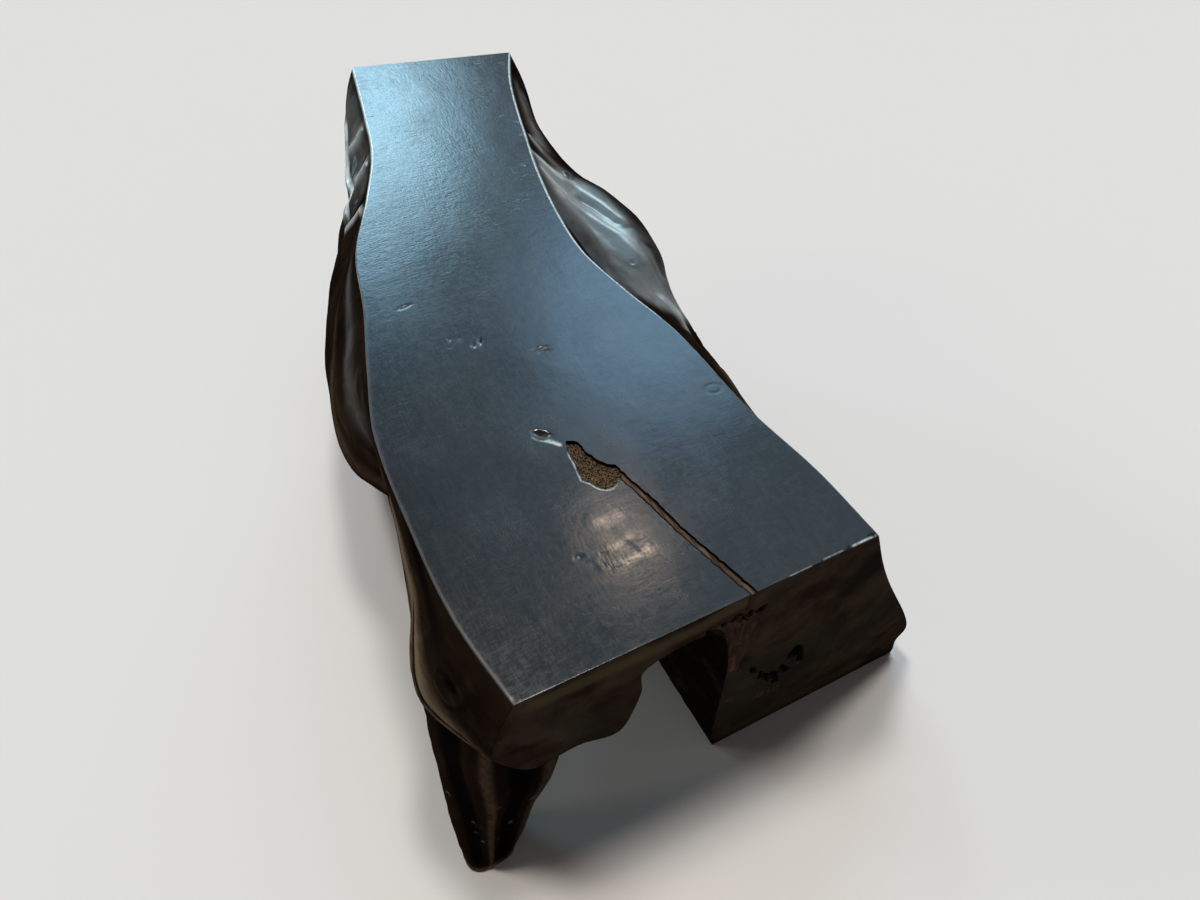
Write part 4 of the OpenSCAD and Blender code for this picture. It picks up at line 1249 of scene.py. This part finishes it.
def raw_wood_material():
    """Unstained wood in the joints, and the dowels."""
    m = Shader("raw_wood", IOR=1.45)
    fibre = m.noise((160, 160, 12), 1.5, 5, 0.65)
    tone = m.noise((1, 1, 1), 30, 3, 0.5)
    colour = m.blend(m.spread(fibre, 0.3, 0.7), (0.17, 0.095, 0.055), (0.34, 0.215, 0.13))
    colour = m.blend(m.spread(tone, 0.4, 0.7, 0, 0.5), colour, (0.11, 0.062, 0.038))
    m.bump((fibre, 0.0004, 0.4))
    return m.finish(colour, m.spread(fibre, 0.3, 0.7, 0.58, 0.78))


def knot_fill_material():
    """Wood dust and chips set in glue."""
    m = Shader("knot_fill", IOR=1.5, Specular_IOR_Level=0.08)
    cells = m.add("TexVoronoi", {"Vector": m.place, "Scale": 520}, feature="F1")
    fine = m.noise((1, 1, 1), 900, 3, 0.6)
    tone = m.noise((1, 1, 1), 60, 3, 0.5)
    grain = m.spread(cells["Distance"], 0.2, 0.62)
    colour = m.blend(grain, (0.21, 0.13, 0.06), (0.009, 0.005, 0.004))
    colour = m.blend(m.spread(tone, 0.4, 0.7, 0, 0.55), colour, (0.050, 0.029, 0.015))
    m.bump((fine, 0.0005, 0.5), (grain, 0.0008, 0.5))
    return m.finish(colour, m.spread(tone, 0.3, 0.7, 0.55, 0.8))


def crack_fill_material():
    """A dull brown filling, lighter along its middle and darker towards its sunk edges."""
    m = Shader("crack_fill", IOR=1.5, Specular_IOR_Level=0.03)
    fibre = m.noise((300, 18, 60), 1.2, 5, 0.65, turned=(0, 0, 14))
    tone = m.noise((1, 1, 1), 45, 4, 0.6)
    colour = m.blend(m.spread(fibre, 0.3, 0.7), (0.030, 0.017, 0.010), (0.15, 0.096, 0.062))
    middle = m.times(m.spread(m.mask("worn"), 0.25, 0.95), m.spread(tone, 0.3, 0.6, 0.55, 1.0))
    colour = m.blend(middle, (0.010, 0.006, 0.004), colour)
    m.bump((fibre, 0.0004, 0.4))
    return m.finish(colour, m.spread(tone, 0.3, 0.7, 0.42, 0.62))


def floor_material():
    m = Shader("floor_paint", Specular_IOR_Level=0.0)
    tone = m.noise((1, 1, 1), 0.8, 2, 0.5)
    colour = m.blend(tone, (0.732, 0.700, 0.684), (0.737, 0.705, 0.689))
    return m.finish(colour, 1.0)


def make_materials():
    for make in (seat_top_material, live_edge_material, saw_cut_material, hollow_material,
                 raw_wood_material, knot_fill_material, crack_fill_material,
                 floor_material):
        make()


# The bench's pieces
# The root blocks: ground plan of the room in which each is kept, from its low corner to its
# high one, its dowels and its slot
BLOCKS = {"near_right_leg": ((20, -20), (600, 400), (2, 3), "block_wood"),
          "far_left_leg": ((-400, 480), (35, 1200), (4, 5), "root_wood"),
          "far_right_leg": ((35, 480), (600, 1200), (6, 7), "root_wood")}
# How deep the socket goes below the joint's face, and how far cuts reach past the seat
SOCKET_LOW, PAST = 20, 5


def hand_over(obj, node):
    """The piece stands for its CAD node, rides on the bench and keeps crisp sawn edges."""
    obj.name = node + "_wood" if not obj.name.endswith("_wood") else obj.name
    obj.data.set_sharp_from_angle(angle=math.radians(48))
    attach(obj, "root")
    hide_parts(node)


def build_bench():
    log = build_log()
    hand_over(build_near_left_leg(log), "near_left_leg")
    for node, (low, high, dowels, slot) in BLOCKS.items():
        leg = copy_of(log, node)
        boolean(leg, box("room", (*low, 0), (*high, JOINT_H)), "INTERSECT")
        bore_dowels(leg, dowels)
        hand_over(leg, node)

    slab = copy_of(log, "seat_slab")
    reach = 2 * SEAT_LEN
    boolean(slab, box("below", (-reach, -reach, -100), (reach, reach, JOINT_H)))
    socket = rounded_box(TENON_W, TENON_D, TENON_ROUND, SOCKET_GAP) + TENON_AT
    boolean(slab, prism("socket", socket, JOINT_H - SOCKET_LOW, FIN_H, "raw_wood"))
    bore_dowels(slab, range(8))
    for outline, deep in ((knot_outline(), KNOT_DEEP), (crack_outline(), CRACK_DEEP)):
        boolean(slab, prism("opening", outline, SEAT_H - deep, SEAT_H + PAST, "hollow"))
    hand_over(slab, "seat_slab")
    bpy.data.objects.remove(log)


def build_fillings():
    knot = filling("knot_filling_dust", knot_outline(-0.15), SEAT_H - KNOT_DEEP, knot_top,
                   1.5, 107)
    crack = filling("crack_filling_dust", crack_outline(0.15), SEAT_H - CRACK_DEEP,
                    crack_top, 1.4, 109)
    xyz = np.array([v.co for v in crack.data.vertices]) * 1000 + MIDDLE
    dist, _ = near_line(xyz[:, 0], xyz[:, 1], crack_middle())
    set_mask(crack, "worn", 1 - ramp(dist / (CRACK_W / 2)))
    boolean(crack, prism("knot_cut", knot_outline(), 0, SEAT_H + PAST, "raw_wood"))
    boolean(crack, box("near_end", (-200, -60, 0), (200, 0.3, SEAT_H + PAST)))
    for obj, material, node in ((knot, "knot_fill", "knot_filling"),
                                (crack, "crack_fill", "crack_filling")):
        obj.data.materials.clear()
        for name in (material, "saw_cut"):
            obj.data.materials.append(bpy.data.materials[name])
        sawn = [p.center.y * 1000 + MIDDLE[1] < 0.6 for p in obj.data.polygons]
        obj.data.polygons.foreach_set("material_index", np.array(sawn, int))
        hand_over(obj, node)
        obj.name = node + "_dust"


def dress_dowels():
    for name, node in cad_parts.items():
        if name.endswith("_dowels"):
            node.data.materials.clear()
            node.data.materials.append(bpy.data.materials["raw_wood"])


# The studio
# The photograph's camera: place in metres, headings in radians, focal length in pixels
CAMERA_AT = (-0.44617, -1.11578, 1.37509)
HEADING, TILT_DOWN, ROLL = 0.525939, 0.859448, 0.049378
FOCAL_PX, IMAGE_W, SENSOR_MM = 948.97, 1200, 36.0


def add_camera():
    data = bpy.data.cameras.new("camera")
    data.sensor_width = SENSOR_MM
    data.lens = FOCAL_PX / IMAGE_W * SENSOR_MM
    camera = bpy.data.objects.new("camera", data)
    bpy.context.scene.collection.objects.link(camera)
    look = Vector((math.sin(HEADING) * math.cos(TILT_DOWN),
                   math.cos(HEADING) * math.cos(TILT_DOWN), -math.sin(TILT_DOWN)))
    level = Vector((math.cos(HEADING), -math.sin(HEADING), 0))
    upward = level.cross(look)
    right = level * math.cos(ROLL) + upward * math.sin(ROLL)
    up = upward * math.cos(ROLL) - level * math.sin(ROLL)
    turned = Matrix((right, up, -look)).transposed().to_4x4()
    camera.matrix_world = Matrix.Translation(CAMERA_AT) @ turned
    bpy.context.scene.camera = camera


# The studio's light: an even dome and soft panels in it. Each panel has its azimuth (0 is
# beyond the far end, 90 the right), elevation, inner and outer radius in degrees, radiance
# and colour
DOME = (0.088, 0.084, 0.082)
# The pale backdrop, which polished wood mirrors up to its height in degrees, low to high
BACKDROP = (0.745, 0.745, 0.73)
BACKDROP_TOP = (13, 23)
PANELS = {
    "key": (-29, 72, 2.5, 6, 62.0, (1.0, 0.96, 0.90)),
    "right_key": (45, 76, 2.5, 6, 58.0, (1.0, 0.96, 0.90)),
    "far_window": (11, 29.8, 3.5, 9.4, 10.4, (0.46, 0.80, 1.0)),
    "far_window_top": (10, 38, 2, 7, 0.9, (0.16, 0.55, 1.0)),
    "left_window": (-32, 9, 3, 11, 13.0, (0.54, 0.85, 1.0)),
    "low_window": (41, 11, 4, 12, 6.0, (0.56, 0.88, 1.0)),
    "right_window": (34, 40, 3, 10, 4.0, (0.36, 0.68, 1.0)),
    "far_wall": (41, 42, 10, 30, 0.95, (0.48, 0.77, 1.0)),
    "left_wall": (300, 14, 8, 26, 0.6, (1.0, 0.92, 0.82)),
    "left_lamp": (303, 21, 2, 7, 10.0, (1.0, 0.86, 0.70)),
    "spot": (34.2, 55.2, 0.6, 1.7, 15.0, (1.0, 0.76, 0.58)),
    "small_spot": (31.3, 53.2, 0.3, 1.5, 10.0, (1.0, 0.76, 0.6)),
}


def direction(azimuth, elevation):
    a, e = math.radians(azimuth), math.radians(elevation)
    return math.sin(a) * math.cos(e), math.cos(a) * math.cos(e), math.sin(e)


def add_world():
    """An even studio dome with soft panels in it, before a pale backdrop."""
    world = bpy.data.worlds.new("studio")
    bpy.context.scene.world = world
    world.use_nodes = True
    w = Nodes(world.node_tree)
    look = w.add("TexCoord")["Generated"]
    ray = w.add("LightPath")
    low, high = (math.sin(math.radians(a)) for a in BACKDROP_TOP)
    mirrored = w.maths("MAXIMUM", ray["Is Glossy Ray"], ray["Is Transmission Ray"])
    height = w.add("SeparateXYZ", {0: look})["Z"]
    total = w.blend(w.times(mirrored, w.spread(height, high, low)), DOME, BACKDROP)
    for azimuth, elevation, inner, outer, radiance, colour in PANELS.values():
        near = w.add("VectorMath", {0: look, 1: direction(azimuth, elevation)},
                     operation="DOT_PRODUCT")["Value"]
        soft = w.spread(near, *(math.cos(math.radians(a)) for a in (outer, inner)))
        tinted = w.add("VectorMath", {0: [radiance * c for c in colour], "Scale": soft},
                       operation="SCALE")[0]
        total = w.add("VectorMath", {0: total, 1: tinted}, operation="ADD")[0]
    total = w.blend(ray["Is Camera Ray"], total, BACKDROP)
    w.feed(w.tree.nodes["Background"].inputs["Color"], total)


def add_studio():
    bpy.ops.mesh.primitive_plane_add(size=80)
    floor = bpy.context.active_object
    floor.name = "floor"
    floor.data.materials.append(bpy.data.materials["floor_paint"])
    add_world()
    bpy.context.scene.view_settings.view_transform = "Standard"


make_materials()
add_camera()
build_bench()
build_fillings()
dress_dowels()
add_studio()
